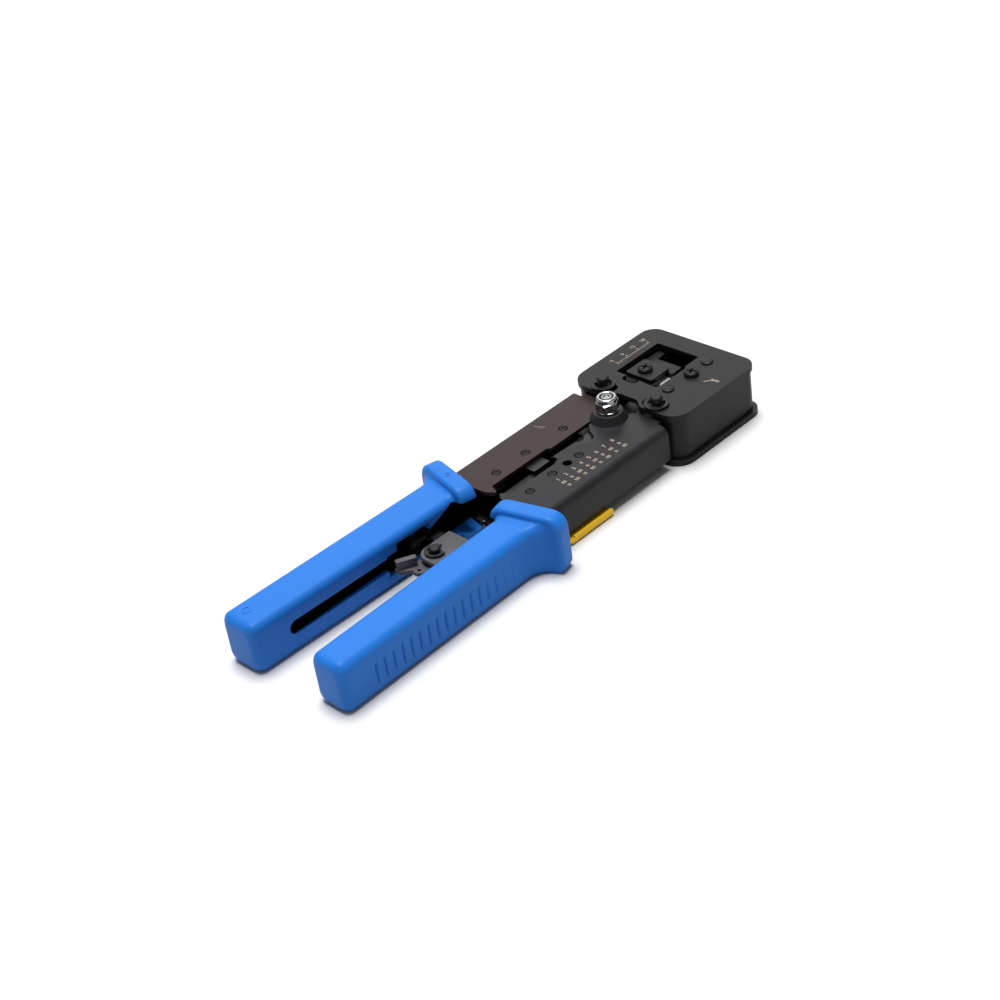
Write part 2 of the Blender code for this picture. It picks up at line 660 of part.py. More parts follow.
def build_left():
    rivets = ((-9.4, -27.0), (-10.1, -46.4))
    stop_rivet = (-10.2, -61.6)
    build_handle("left_handle_channel", -1, "left_handle", BROWN, rivets, (stop_rivet,))
    build_grip("left_grip", -1, "left_handle", ((-96.0, 16.2), (-111.0, 16.2), (-111.2, 13.4)))
    head_pin("left_head_pin", -1, "left_handle")
    clip = retaining_clip("left_pin_clip", (-PIN_X, 0.0), 4.7, 1.8, (21.45, 22.15), math.radians(150.0))
    finish(clip, "left_handle", BLACK, 0.35, 0.6)
    hole = [circle(rivets[1], RIVET_R + GAP, 16)]
    blade = plate("cutter_blade", [(-16.0, -51.8), (-1.0, -51.8), (-1.0, -43.7), (-16.0, -43.7)], CUTTER_Z, hole)
    finish(blade, "left_handle", STEEL, 0.25, 1.0)
    hole = [circle(rivets[0], RIVET_R + GAP, 16)]
    anvil = plate("stripping_anvil", [(-15.0, -40.0), (-1.0, -40.0), (-1.0, -22.6), (-15.0, -22.6)], ANVIL_Z, hole)
    finish(anvil, "left_handle", STEEL, 0.3, 1.0)
    flush_rivets("left", (*rivets, stop_rivet), ANVIL_Z[0] - 0.5, BROWN)
    finish(ratchet_rack(), "left_handle", BLACK, 0.4, 0.6)
    for index, y in enumerate(RACK_POSTS, 1):
        finish(rack_post(f"rack_post_{index}", y), "left_handle", STEEL, 0.4, 1.0)
    pin = [(0.0, 4.9), (2.2, 4.9), (2.2, 4.4), (1.2, 4.4), (1.2, 0.8), (0.0, 0.8)]
    cut(bpy.data.objects["left_handle_channel"], cylinder("catch_pin_hole", (-9.5, -72.0), 1.5, (1.0, 4.35), 16))
    finish(lathe("lock_catch_pin", (-9.5, -72.0), pin, sides=16), "left_handle", STEEL, 0.35, 1.0)


def ratchet_rack():
    """A toothed sector centred on the main bolt, on a root plate inside the left handle."""
    first = math.radians(-90.0) - 3.0 * RACK_PITCH
    last = first + RACK_TEETH * RACK_PITCH
    start_inner = math.radians(-98.7)
    points = [Vector((-20.8, -87.4)), *arc(BOLT, RACK_INNER, start_inner, last, 10)]
    for index in reversed(range(RACK_TEETH)):
        flank = first + (index + 1) * RACK_PITCH
        points += arc(BOLT, RACK_ROOT, flank, flank, 1)[:1]
        points += arc(BOLT, RACK_TIP, flank - 0.35 * RACK_PITCH, flank - 0.55 * RACK_PITCH, 1)
    points += arc(BOLT, RACK_ROOT, first, math.radians(-99.0), 3)
    points += [Vector((-14.6, -101.4)), Vector((-20.8, -101.4))]
    holes = [circle((RACK_POST_X, y), 1.5 + GAP, 16) for y in RACK_POSTS]
    return prism("ratchet_rack", [points, *holes], *RACK_Z)


def rack_post(name, y):
    """A spacer pin between the handle's two plates: it holds the rack on a shoulder."""
    low, high = CHANNEL_Z[0] + SHEET + GAP, CHANNEL_Z[1] - SHEET - GAP
    profile = [(0.0, high), (1.5, high), (1.5, RACK_Z[0] - 0.15), (2.6, RACK_Z[0] - 0.15), (2.6, low), (0.0, low)]
    return lathe(name, (RACK_POST_X, y), profile, sides=16)


def build_right():
    rivets = ((7.4, -51.2), (8.2, -63.6))
    blade_rivet = (7.4, -37.0)
    spare = (7.4, -43.2)
    build_handle("right_handle_channel", 1, "right_handle", BLACK, (*rivets, blade_rivet), (spare,))
    build_grip("right_grip", 1, "right_handle")
    head_pin("right_head_pin", 1, "right_handle")
    clip = retaining_clip("right_pin_clip", (PIN_X, 0.0), 4.7, 1.8, (21.45, 22.15), math.radians(120.0))
    finish(clip, "right_handle", BLACK, 0.35, 0.6)
    finish(stripper_blade(blade_rivet, spare), "right_handle", STEEL, 0.25, 1.0)
    holes = [circle(place, RIVET_R + GAP, 16) for place in rivets]
    anvil = plate("cutter_anvil", [(-3.0, -66.4), (14.0, -66.4), (14.0, -45.2), (-3.0, -45.2)], ANVIL_Z, holes)
    finish(anvil, "right_handle", STEEL, 0.3, 1.0)
    flush_rivets("right", (*rivets, blade_rivet), ANVIL_Z[0] - 0.5, BLACK)
    build_ratchet()
    low_head = [(0.0, 5.0), (2.4, 5.0), (2.4, 4.4), (1.3, 4.4), (1.3, 0.6), (2.6, 0.6), (2.6, 0.15), (0.0, 0.15)]
    cut(bpy.data.objects["right_handle_channel"], cylinder("lever_hole", LEVER, 1.6, (1.0, 4.35), 16))
    finish(lathe("lock_lever_rivet", LEVER, low_head, sides=16), "right_handle", STEEL, 0.35, 1.0)


def stripper_blade(rivet, spare):
    notch = arc((-2.6, -27.2), 2.6, math.radians(60.0), math.radians(-60.0), 6)
    outline = [Vector(p) for p in ((-2.0, -41.0), (12.0, -41.0), (12.0, -22.6), (-2.0, -22.6))]
    return prism("stripper_blade", [[*outline, *notch], circle(rivet, RIVET_R + GAP, 16)], *CUTTER_Z)


def build_ratchet():
    """The bracket in the right handle, with the pawl's pin and spring."""
    item = channel("pawl_bracket", 1, BRACKET_X, -7.0, BRACKET_Z, 2.2, (-116.0, -88.0))
    nose = arc(PAWL, 5.2, math.radians(180.0), math.radians(270.0), 8)
    plan = [(-5.2, -91.7), *nose, (22.0, -108.9), (22.0, -91.7)]
    outline = prism("bracket_plan", [plan, circle(PAWL, PAWL_PIN_R + GAP)], 0.0, 30.0)
    finish(combine(item, [outline], "INTERSECT"), "right_handle", BLACK, 0.45, 0.5)
    for index, y in enumerate(BRACKET_RIVETS, 1):
        finish(bracket_rivet(f"bracket_rivet_{index}", y), "right_handle", BLACK, 0.4, 0.5)
    for target in ("pawl_bracket", "right_handle_channel"):
        for index, y in enumerate(BRACKET_RIVETS):
            hole = cylinder(f"{target}_side_hole_{index}", (0.0, 0.0), 1.3 + GAP, (-4.0, 4.0), 16)
            hole.matrix_world = sideways(21.7, y, 9.0)
            cut(bpy.data.objects[target], hole)
    clip = 13.0
    profile = [
        (0.0, 15.0), (1.6, 15.0), (PAWL_PIN_R, 14.6), (PAWL_PIN_R, clip + 0.9), (1.3, clip + 0.9), (1.3, clip - 0.15),
        (PAWL_PIN_R, clip - 0.15), (PAWL_PIN_R, 5.1), (3.2, 5.1), (3.2, 3.9), (0.0, 3.9),
    ]
    finish(lathe("pawl_pin", PAWL, profile), "right_handle", BLACK, 0.35, 0.6)
    ring = retaining_clip("pawl_pin_clip", PAWL, 3.8, 1.5, (clip, clip + 0.7), math.radians(60.0))
    finish(ring, "right_handle", BLACK, 0.35, 0.6)
    anchor = cylinder("spring_anchor_pin", (16.4, -113.0), 1.1, (4.4, 16.2), 16)
    finish(anchor, "right_handle", STEEL, 0.35, 1.0)
    turns, steps, radius = 8, 8, 1.3
    points = []
    for step in range(turns * steps + 1):
        angle = math.tau * step / steps
        along = 4.2 + 10.6 * step / (turns * steps)
        points.append((along, -112.6 + radius * math.cos(angle), 9.15 + radius * math.sin(angle)))
    finish(wire("pawl_spring", points, 0.3), "right_handle", STEEL, 0.3, 1.0)
    finish(ratchet_pawl(), "pawl", BLACK, 0.4, 0.6)


def sideways(x, y, z):
    """The place of a piece whose axis lies along X."""
    return Matrix.Translation(Vector((x, y, z)) * MM) @ Matrix.Rotation(math.pi / 2, 4, "Y")


def bracket_rivet(name, y):
    """A rivet through the handle's side and the bracket's back."""
    profile = [(0.0, 1.65), (1.3, 1.65), (1.3, -2.1), (1.7, -2.1), (1.7, -2.7), (0.0, -2.7)]
    item = lathe(name, (0.0, 0.0), profile, sides=16)
    item.matrix_world = sideways(21.7, y, 9.0)
    return item


def ratchet_pawl():
    """The pawl: a boss with one tooth, a spring eye and a release tab that stands up."""
    boss = cylinder("ratchet_pawl", PAWL, 3.6, RACK_Z)
    tip = BOLT[1] - RACK_TIP - 0.35
    tooth = [(-1.9, PAWL[1] + 2.0), (1.9, PAWL[1] + 2.0), (0.35, tip), (-0.35, tip)]
    join(boss, prism("pawl_tooth", [tooth], *RACK_Z))
    eye = (-0.4, -111.6)
    arm = [(-3.2, -104.6), (2.4, -105.0), (2.4, -110.0), (eye[0] + 2.2, -112.2, 1.0), (eye[0], -114.0, 1.4),
           (-2.2, -112.8), (-5.6, -116.2, 0.6), (-8.4, -116.2, 0.6)]
    join(boss, prism("pawl_arm", [rounded(arm)], RACK_Z[0] + 0.05, RACK_Z[1] - 0.05))
    tab = rounded([(-6.2, -116.4, 0.7), (-8.2, -115.4, 0.7), (-4.6, -108.9, 0.5), (-2.7, -109.8, 0.5)])
    join(boss, prism("pawl_tab", [tab], RACK_Z[0] + 0.2, BRACKET_Z[1] + 0.6))
    bore = cylinder("pawl_bore", PAWL, PAWL_PIN_R + GAP, (RACK_Z[0] - 1.0, RACK_Z[1] + 1.0))
    eye_hole = cylinder("pawl_eye", eye, 0.8, (RACK_Z[0] - 1.0, RACK_Z[1] + 1.0), 12)
    return cut(boss, bore, eye_hole)


def build_lock_lever():
    """The handle lock: a bent strip that lies along the right handle's edge and reaches the left."""
    outline = [
        (LEVER_OUT, -38.2, 1.0), (20.6, -42.0), (20.2, -60.0), (17.0, -62.4), (-9.0, -64.8), (-13.2, -65.6, 1.0),
        (-13.6, -70.1, 0.5), (-11.4, -70.1, 0.5), (-10.8, -68.4, 1.0), (15.0, -69.4, 1.5), (20.4, -68.6, 2.0),
        (LEVER_OUT, -62.0, 2.0),
    ]
    lever = plate("lock_lever", outline, LEVER_Z, [circle(LEVER, 1.6, 16)])
    join(lever, block("lever_lip", (LEVER_OUT - 1.0, LEVER_OUT), (-60.5, -40.5), (LEVER_Z[0] + 0.7, LEVER_LIP_Z)))
    finish(lever, "lock_lever", YELLOW, 0.45)


joint_axis("head_axis", (0.0, 0.0))
joint_axis("ram_axis", BOLT, "head")
joint_axis("left_handle_axis", BOLT, "ram")
joint_axis("right_handle_axis", BOLT, "ram")
joint_axis("pawl_axis", PAWL, "right_handle")
joint_axis("lock_lever_axis", LEVER, "right_handle")
build_head()
build_ram()
build_left()
build_right()
build_lock_lever()
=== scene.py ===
"""The looks of a ratchet crimping tool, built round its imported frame.

Lengths are in millimetres and MM turns them into metres. +Y runs from the grips to the head,
+X to the right handle and +Z up. The tool lies on its back on the floor.
"""

import json
import math

import bmesh
import bpy
from mathutils import Matrix, Vector


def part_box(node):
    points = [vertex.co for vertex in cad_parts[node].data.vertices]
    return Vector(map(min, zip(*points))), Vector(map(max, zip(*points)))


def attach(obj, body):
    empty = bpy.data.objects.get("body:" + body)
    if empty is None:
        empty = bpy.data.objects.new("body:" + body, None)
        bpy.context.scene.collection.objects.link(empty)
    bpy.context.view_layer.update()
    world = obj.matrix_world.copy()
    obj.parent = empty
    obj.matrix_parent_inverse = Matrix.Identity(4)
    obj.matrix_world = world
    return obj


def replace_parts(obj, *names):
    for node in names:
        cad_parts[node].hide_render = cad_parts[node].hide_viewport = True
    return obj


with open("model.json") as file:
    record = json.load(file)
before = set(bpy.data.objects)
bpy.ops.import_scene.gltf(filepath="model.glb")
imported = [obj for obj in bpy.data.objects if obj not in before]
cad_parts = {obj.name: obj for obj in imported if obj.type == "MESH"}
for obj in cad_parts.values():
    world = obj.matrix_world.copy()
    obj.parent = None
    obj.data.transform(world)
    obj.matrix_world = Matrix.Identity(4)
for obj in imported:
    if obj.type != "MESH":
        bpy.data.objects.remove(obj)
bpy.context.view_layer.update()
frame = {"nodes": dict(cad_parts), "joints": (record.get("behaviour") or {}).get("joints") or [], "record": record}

MM = 0.001
GAP = 0.3
ROUND = 64

RECORD = frame["record"]
JOINTS = {joint["name"]: joint for joint in frame["joints"]}
BODY_OF = {node: body for body, nodes in RECORD["behaviour"]["bodies"].items() for node in nodes}
SLOT_OF = {row["node"]: row["material_slot"] for row in RECORD["subparts"]}


def extents(node):
    """A CAD node's lowest and highest corners in millimetres."""
    low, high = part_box(node)
    return low / MM, high / MM


def middle(node):
    low, high = extents(node)
    return ((low.x + high.x) / 2, (low.y + high.y) / 2)


def levels(node):
    low, high = extents(node)
    return (low.z, high.z)


def pivot(joint):
    place = JOINTS[joint]["pos_m"]
    return (place[0] / MM, place[1] / MM)


BOLT = pivot("left_handle_hinge")
PAWL = pivot("pawl_hinge")
LEVER = pivot("lock_lever_hinge")
PIN_X = middle("right_head_pin")[0]
PLATE = extents("front_plate")
PLATE_X, PLATE_TOP, PLATE_FOOT = PLATE[1].x, PLATE[1].y, PLATE[0].y
FRONT_Z = levels("front_plate")
BACK_Z = levels("back_plate")
FLANGE = extents("back_plate")[1].x - PLATE_X
BAND_INSET = PLATE_X - extents("head_band")[1].x
CHANNEL_X = {-1: -extents("left_handle_channel")[0].x, 1: extents("right_handle_channel")[1].x}
CHANNEL_Z = levels("left_handle_channel")
TANG_END = extents("left_handle_channel")[0].y
SHEET = 1.5
BEND = {-1: 1.9, 1: 3.2}
LOWER_EDGE = 0.4
LOWER_SPAN = (-69.6, -23.6)
HUB = 4.6
RING = 8.2
EAR = 4.6
DISH_RISE = 3.2
DIMPLE_RISE = 1.8
BOLT_R = 2.4
PIN_R = 2.4
SLOT_REACH = 3.4
LEVER_THICK = 1.5
LEVER_OUT = extents("lock_lever")[1].x
GRIP_Z = 19.6
GRIP_ROOT = -88.0
GRIP_END = {-1: extents("left_grip")[0].y, 1: extents("right_grip")[0].y}
GRIP_IN = {-1: (10.5, 13.0), 1: (9.8, 11.9)}
GRIP_OUT = {-1: (27.2, 29.2), 1: (25.8, 26.8)}
FLARE_Z = extents("right_grip")[1].z
FLARE_AT = (19.5, -76.5)
FLARE_HALF = (14.0, 3.8)
FLARE_TILT = math.radians(13.6)
PRINT_TOP = 0.05
NUMBERS_AT = (11.9, -52.9)
SCALE_AT = (-18.1, 15.0)
SCALE_LENGTH = 18
SCALE_STEP = 6
RECESS_TURN = 0.35
THREAD_PITCH = 0.8
THREAD_TURNS = 5
NUT_FLATS = 8.0
RIVET_R = 1.5
PAWL_PIN_R = 2.0
TOOTH_REACH = 86.95
TOP_SWEEP_Z = (15.0, 18.35)
BOTTOM_SWEEP_Z = (1.0, 4.3)
DRILL_Z = (15.6, 19.0)


# Materials

def new_material(name):
    finish = bpy.data.materials.new(name)
    finish.use_nodes = True
    tree = finish.node_tree
    return finish, tree, tree.nodes["Principled BSDF"]


def noise(tree, scale, detail=3.0, stretch=(1.0, 1.0, 1.0)):
    """A noise value fixed to the piece: scale is features a metre."""
    place = tree.nodes.new("ShaderNodeTexCoord")
    squeeze = tree.nodes.new("ShaderNodeMapping")
    squeeze.inputs["Scale"].default_value = stretch
    texture = tree.nodes.new("ShaderNodeTexNoise")
    texture.inputs["Scale"].default_value = scale
    texture.inputs["Detail"].default_value = detail
    tree.links.new(place.outputs["Object"], squeeze.inputs["Vector"])
    tree.links.new(squeeze.outputs["Vector"], texture.inputs["Vector"])
    return texture.outputs["Fac"]


def ramp(tree, value, stops):
    """Colours along a value: stops are (position, colour)."""
    node = tree.nodes.new("ShaderNodeValToRGB")
    line = node.color_ramp
    line.elements[0].position, line.elements[0].color = stops[0][0], (*stops[0][1], 1.0)
    line.elements[1].position, line.elements[1].color = stops[-1][0], (*stops[-1][1], 1.0)
    for position, colour in stops[1:-1]:
        line.elements.new(position).color = (*colour, 1.0)
    tree.links.new(value, node.inputs["Fac"])
    return node.outputs["Color"]


def spread(tree, value, low, high):
    """A value from 0.3 to 0.7 spread over low to high."""
    node = tree.nodes.new("ShaderNodeMapRange")
    node.inputs["From Min"].default_value = 0.3
    node.inputs["From Max"].default_value = 0.7
    node.inputs["To Min"].default_value = low
    node.inputs["To Max"].default_value = high
    tree.links.new(value, node.inputs["Value"])
    return node.outputs["Result"]


def grain(tree, shader, height, distance, strength=1.0):
    bump = tree.nodes.new("ShaderNodeBump")
    bump.inputs["Distance"].default_value = distance * MM
    bump.inputs["Strength"].default_value = strength
    tree.links.new(height, bump.inputs["Height"])
    tree.links.new(bump.outputs["Normal"], shader.inputs["Normal"])


def tint(colour, factor):
    return tuple(min(1.0, c * factor) for c in colour)


def painted_steel(name, colour, roughness, metallic=0.0, speckle=0.16):
    """Oxide-black sheet: a cloudy tone, fine speckle and uneven sheen."""
    finish, tree, shader = new_material(name)
    shader.inputs["Specular IOR Level"].default_value = 0.17
    cloud = noise(tree, 90.0, 4.0)
    speck = noise(tree, 2600.0, 2.0)
    tone = ramp(tree, cloud, [(0.35, tint(colour, 1.0 - speckle)), (0.65, tint(colour, 1.0 + speckle))])
    fleck = ramp(tree, speck, [(0.35, (0.82, 0.82, 0.82)), (0.68, (1.18, 1.18, 1.18))])
    mix = tree.nodes.new("ShaderNodeMix")
    mix.data_type = "RGBA"
    mix.blend_type = "MULTIPLY"
    mix.inputs["Factor"].default_value = 1.0
    tree.links.new(tone, mix.inputs["A"])
    tree.links.new(fleck, mix.inputs["B"])
    tree.links.new(mix.outputs["Result"], shader.inputs["Base Color"])
    tree.links.new(spread(tree, cloud, roughness - 0.05, roughness + 0.06), shader.inputs["Roughness"])
    shader.inputs["Metallic"].default_value = metallic
    grain(tree, shader, speck, 0.012)
    return finish


def bare_steel(name, colour, roughness, brushed=(1.0, 1.0, 1.0), scale=500.0):
    finish, tree, shader = new_material(name)
    streak = noise(tree, scale, 4.0, brushed)
    shade = ramp(tree, streak, [(0.3, tint(colour, 0.82)), (0.7, tint(colour, 1.12))])
    tree.links.new(shade, shader.inputs["Base Color"])
    tree.links.new(spread(tree, streak, roughness - 0.05, roughness + 0.07), shader.inputs["Roughness"])
    shader.inputs["Metallic"].default_value = 1.0
    grain(tree, shader, streak, 0.004)
    return finish


def moulded_plastic(name, colour, roughness):
    """Satin moulded plastic: a faint flow in its tone and a fine mould grain."""
    finish, tree, shader = new_material(name)
    flow = noise(tree, 26.0, 3.0, (1.0, 0.25, 1.0))
    fine = noise(tree, 2200.0, 2.0)
    shade = ramp(tree, flow, [(0.3, tint(colour, 0.95)), (0.7, tint(colour, 1.05))])
    tree.links.new(shade, shader.inputs["Base Color"])
    tree.links.new(spread(tree, fine, roughness - 0.04, roughness + 0.05), shader.inputs["Roughness"])
    grain(tree, shader, fine, 0.008)
    shader.inputs["Specular IOR Level"].default_value = 0.16
    return finish


def print_ink(name, colour):
    finish, tree, shader = new_material(name)
    patch = noise(tree, 1800.0, 2.0)
    shade = ramp(tree, patch, [(0.35, tint(colour, 0.7)), (0.6, colour)])
    tree.links.new(shade, shader.inputs["Base Color"])
    shader.inputs["Roughness"].default_value = 0.7
    return finish


FINISHES = {
    "black_oxide": painted_steel("black_oxide", (0.013, 0.0125, 0.0135), 0.42),
    "handle_black": painted_steel("handle_black", (0.016, 0.016, 0.018), 0.40),
    "brown_oxide": painted_steel("brown_oxide", (0.030, 0.017, 0.016), 0.42),
    "plain_steel": bare_steel("plain_steel", (0.30, 0.30, 0.31), 0.34, (1.0, 1.0, 1.0)),
    "ground_steel": bare_steel("ground_steel", (0.66, 0.66, 0.67), 0.45, (8.0, 0.6, 1.0)),
    "zinc_chrome": bare_steel("zinc_chrome", (0.5, 0.5, 0.52), 0.17),
    "bronze": bare_steel("bronze", (0.6, 0.47, 0.22), 0.32),
    "blue_grip": moulded_plastic("blue_grip", (0.015, 0.152, 0.545), 0.42),
    "yellow_lever": moulded_plastic("yellow_lever", (0.92, 0.55, 0.02), 0.4),
}
# Lighter, more metallic copies of the black and brown finishes for rounded edges: partly edge wear, partly a
# painted highlight along the edges.
WEAR_AND_HIGHLIGHT_BLACK = painted_steel("edge_wear_and_highlight_black", (0.10, 0.097, 0.10), 0.34, 0.5)
WEAR_AND_HIGHLIGHT_BROWN = painted_steel("edge_wear_and_highlight_brown", (0.20, 0.18, 0.175), 0.32, 0.6)
DARK_STEEL = bare_steel("dark_steel", (0.045, 0.045, 0.047), 0.4)
# A lighter black for the pawl bracket and pawl: painted light, so they read brighter in the shade between the
# grips.
LIGHTENED_BLACK = painted_steel("painted_light_black", (0.085, 0.080, 0.086), 0.45)
# A pale, half-diffuse steel for the trim blade: painted light, so the blade reads bright in the shade of the
# window's edges.
LIT_TRIM_STEEL = painted_steel("painted_light_steel", (0.72, 0.72, 0.73), 0.5, 0.2, 0.05)
INK = print_ink("print_ink", (0.42, 0.33, 0.26))
EDGE_WEAR_AND_HIGHLIGHT = {"black_oxide": WEAR_AND_HIGHLIGHT_BLACK, "handle_black": WEAR_AND_HIGHLIGHT_BLACK, "brown_oxide": WEAR_AND_HIGHLIGHT_BROWN}


# Outlines

def rounded(corners, steps=8):
    """Points of an outline whose corners are (x, y), or (x, y, radius) where they are rounded."""
    points = []
    for index, corner in enumerate(corners):
        here = Vector(corner[:2])
        if len(corner) == 2:
            points.append(here)
            continue
        before = (Vector(corners[index - 1][:2]) - here).normalized()
        after = (Vector(corners[(index + 1) % len(corners)][:2]) - here).normalized()
        half = before.angle(after) / 2
        centre = here + (before + after).normalized() * corner[2] / math.sin(half)
        reach = corner[2] / math.tan(half)
        first = here + before * reach - centre
        last = here + after * reach - centre
        start = math.atan2(first.y, first.x)
        sweep = math.remainder(math.atan2(last.y, last.x) - start, math.tau)
        points += arc(centre, corner[2], start, start + sweep, steps)
    return points


def arc(centre, radius, start, end, steps):
    """Points from angle start to angle end, in radians, round a centre."""
    turns = [start + (end - start) * step / steps for step in range(steps + 1)]
    return [Vector((centre[0] + radius * math.cos(a), centre[1] + radius * math.sin(a))) for a in turns]


def circle(centre, radius, sides=48):
    return arc(centre, radius, 0.0, math.tau, sides)[:-1]


def slot(first, second, radius):
    """A slot with round ends, between two centres on a line of constant y."""
    left, right = sorted((first, second))
    quarter = math.pi / 2
    return arc(right, radius, -quarter, quarter, 20) + arc(left, radius, quarter, 3 * quarter, 20)


def box_outline(x_low, x_high, y_low, y_high, radius=0.0):
    corners = [(x_low, y_low), (x_high, y_low), (x_high, y_high), (x_low, y_high)]
    return rounded([(*c, radius) for c in corners]) if radius else corners


def mirrored(points, side):
    return [(side * p[0], *p[1:]) for p in points]


# Solids

def add_object(name, mesh, place=None):
    item = bpy.data.objects.new(name, mesh)
    bpy.context.scene.collection.objects.link(item)
    item.matrix_world = place or Matrix.Identity(4)
    return item


def evaluated(item):
    """The item's mesh with its modifiers, in world space; the item is removed."""
    bpy.context.view_layer.update()
    mesh = bpy.data.meshes.new_from_object(item.evaluated_get(bpy.context.evaluated_depsgraph_get()))
    mesh.transform(item.matrix_world)
    data = item.data
    bpy.data.objects.remove(item, do_unlink=True)
    if isinstance(data, bpy.types.Curve):
        bpy.data.curves.remove(data)
    return mesh


def settled(item):
    """The same item as a plain mesh in world space."""
    name = item.name
    return add_object(name, evaluated(item))


def prism(name, outlines, low, high, upright=False):
    """A closed solid between two levels: the first outline is its edge, the others are holes.

    Upright solids take their outline in X and Z, and their levels along Y.
    """
    flat = bpy.data.curves.new(name, "CURVE")
    flat.dimensions = "2D"
    flat.fill_mode = "BOTH"
    flat.extrude = (high - low) / 2 * MM
    for outline in outlines:
        spline = flat.splines.new("POLY")
        spline.points.add(len(outline) - 1)
        spline.use_cyclic_u = True
        for point, place in zip(spline.points, outline):
            point.co = (place[0] * MM, place[1] * MM, 0.0, 1.0)
    guide = add_object(name, flat)
    centre = (low + high) / 2 * MM
    guide.location = (0.0, centre, 0.0) if upright else (0.0, 0.0, centre)
    guide.rotation_euler.x = math.pi / 2 if upright else 0.0
    mesh = evaluated(guide)
    work = bmesh.new()
    work.from_mesh(mesh)
    bmesh.ops.remove_doubles(work, verts=work.verts, dist=1e-6)
    bmesh.ops.dissolve_limit(work, angle_limit=1e-4, verts=work.verts, edges=work.edges)
    bmesh.ops.recalc_face_normals(work, faces=work.faces)
    work.to_mesh(mesh)
    work.free()
    return add_object(name, mesh)


def plate(name, corners, span, holes=()):
    return prism(name, [rounded(corners), *holes], *span)


def block(name, x_span, y_span, z_span, radius=0.0):
    return prism(name, [box_outline(*x_span, *y_span, radius)], *z_span)


def lathe(name, centre, profile, ring=False, sides=ROUND):
    """A turned solid about a vertical axis: (radius, height) down its outer side, top to bottom."""
    mesh = bpy.data.meshes.new(name)
    work = bmesh.new()
    verts = [work.verts.new((r * MM, 0.0, z * MM)) for r, z in profile]
    pairs = list(zip(verts, verts[1:]))
    if ring:
        pairs.append((verts[-1], verts[0]))
    for pair in pairs:
        work.edges.new(pair)
    work.to_mesh(mesh)
    work.free()
    item = add_object(name, mesh, Matrix.Translation(Vector((centre[0], centre[1], 0.0)) * MM))
    turn = item.modifiers.new("Turn", "SCREW")
    turn.steps = sides
    turn.render_steps = sides
    turn.use_merge_vertices = True
    turn.merge_threshold = 1e-6
    return settled(item)


def combine(target, tools, operation, solver="EXACT"):
    for tool in tools:
        step = target.modifiers.new(operation.title(), "BOOLEAN")
        step.operation = operation
        step.solver = solver
        step.object = tool
    done = settled(target)
    for tool in tools:
        bpy.data.objects.remove(tool, do_unlink=True)
    return done


def cut(target, *tools, solver="EXACT"):
    return combine(target, tools, "DIFFERENCE", solver)


def join(target, *tools, solver="EXACT"):
    return combine(target, tools, "UNION", solver)


def soften(item, width, segments=3, angle=30.0, edge_wear_and_highlight=True):
    """Round the edges; the rounded faces take the second material, a lighter one that stands for edge wear and
    also paints a highlight along the edges.
    """
    edge = item.modifiers.new("Edges", "BEVEL")
    edge.width = width * MM
    edge.segments = segments
    edge.limit_method = "ANGLE"
    edge.angle_limit = math.radians(angle)
    edge.harden_normals = False
    # The second material paints edge wear and an edge highlight onto the rounded faces.
    if edge_wear_and_highlight:
        edge.material = 1
    return item


def dress(item, node, smooth=38.0, finish=None):
    """Let a new piece stand for a CAD node: its finish, shading, body and slot."""
    slot_name = SLOT_OF[node]
    item.data.materials.clear()
    item.data.materials.append(finish or FINISHES[slot_name])
    # Second material: lighter edge wear with a painted edge highlight, for the rounded edges.
    item.data.materials.append(EDGE_WEAR_AND_HIGHLIGHT.get(slot_name, FINISHES[slot_name]))
    item.data.shade_smooth()
    item.data.set_sharp_from_angle(angle=math.radians(smooth))
    item.name = f"{node}_fine"
    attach(item, BODY_OF[node])
    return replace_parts(item, node)


# Head

def head_outline(grow, foot_radius=7.5, top_radius=6.0):
    wide = PLATE_X + grow
    top = PLATE_TOP + grow
    foot = PLATE_FOOT - grow
    arch = [(8.6, foot, 3.0), (4.4, foot + 3.2, 3.0), (-4.4, foot + 3.2, 3.0), (-8.6, foot, 3.0)]
    bottom = [(wide, foot, foot_radius), *arch, (-wide, foot, foot_radius)]
    return [*bottom, (-wide, top, top_radius), (wide, top, top_radius)]


def pin_slots():
    reach = PIN_R + 0.35
    slots = []
    for side in (-1, 1):
        slots.append(slot((side * (PIN_X + 0.1), 0.0), (side * (PIN_X - SLOT_REACH - 0.1), 0.0), reach))
    return slots


HEAD_FASTENERS = [middle(node) for node in ("head_rivet_1", "head_rivet_2", "head_screw")]


def build_head():
    holes = [circle(place, 1.6 + GAP) for place in HEAD_FASTENERS]
    socket_low, socket_high = -11.3, 1.1
    socket = [
        (socket_low, 26.0), (socket_high, 26.0), (socket_high, 35.6), (-2.2, 35.6),
        (-2.2, 37.4), (-8.0, 37.4), (-8.0, 35.6), (socket_low, 35.6),
    ]
    back = plate("back", head_outline(FLANGE), BACK_Z, [socket, *pin_slots(), *holes])
    dress(soften(back, 0.4), "back_plate")
    window = rounded([
        (-15.44, 34.64, 0.6), (-15.44, 10.2, 0.8), (-10.6, 10.2), (-10.4, 6.8, 1.8), (-3.6, 6.8, 1.8),
        (-3.4, 9.8), (0.2, 9.2, 1.0), (5.4, 9.2, 1.5), (5.6, 25.6, 1.0), (4.64, 26.4, 1.0),
        (4.64, 34.64, 0.6),
    ])
    front = plate("front", head_outline(0.0), FRONT_Z, [window, *pin_slots(), *holes])
    dress(soften(front, 0.3), "front_plate")
    dress(head_band(), "head_band")
    for node in ("head_rivet_1", "head_rivet_2"):
        dress(dome_rivet(node), node)
    dress(panhead_screw("head_screw"), "head_screw")


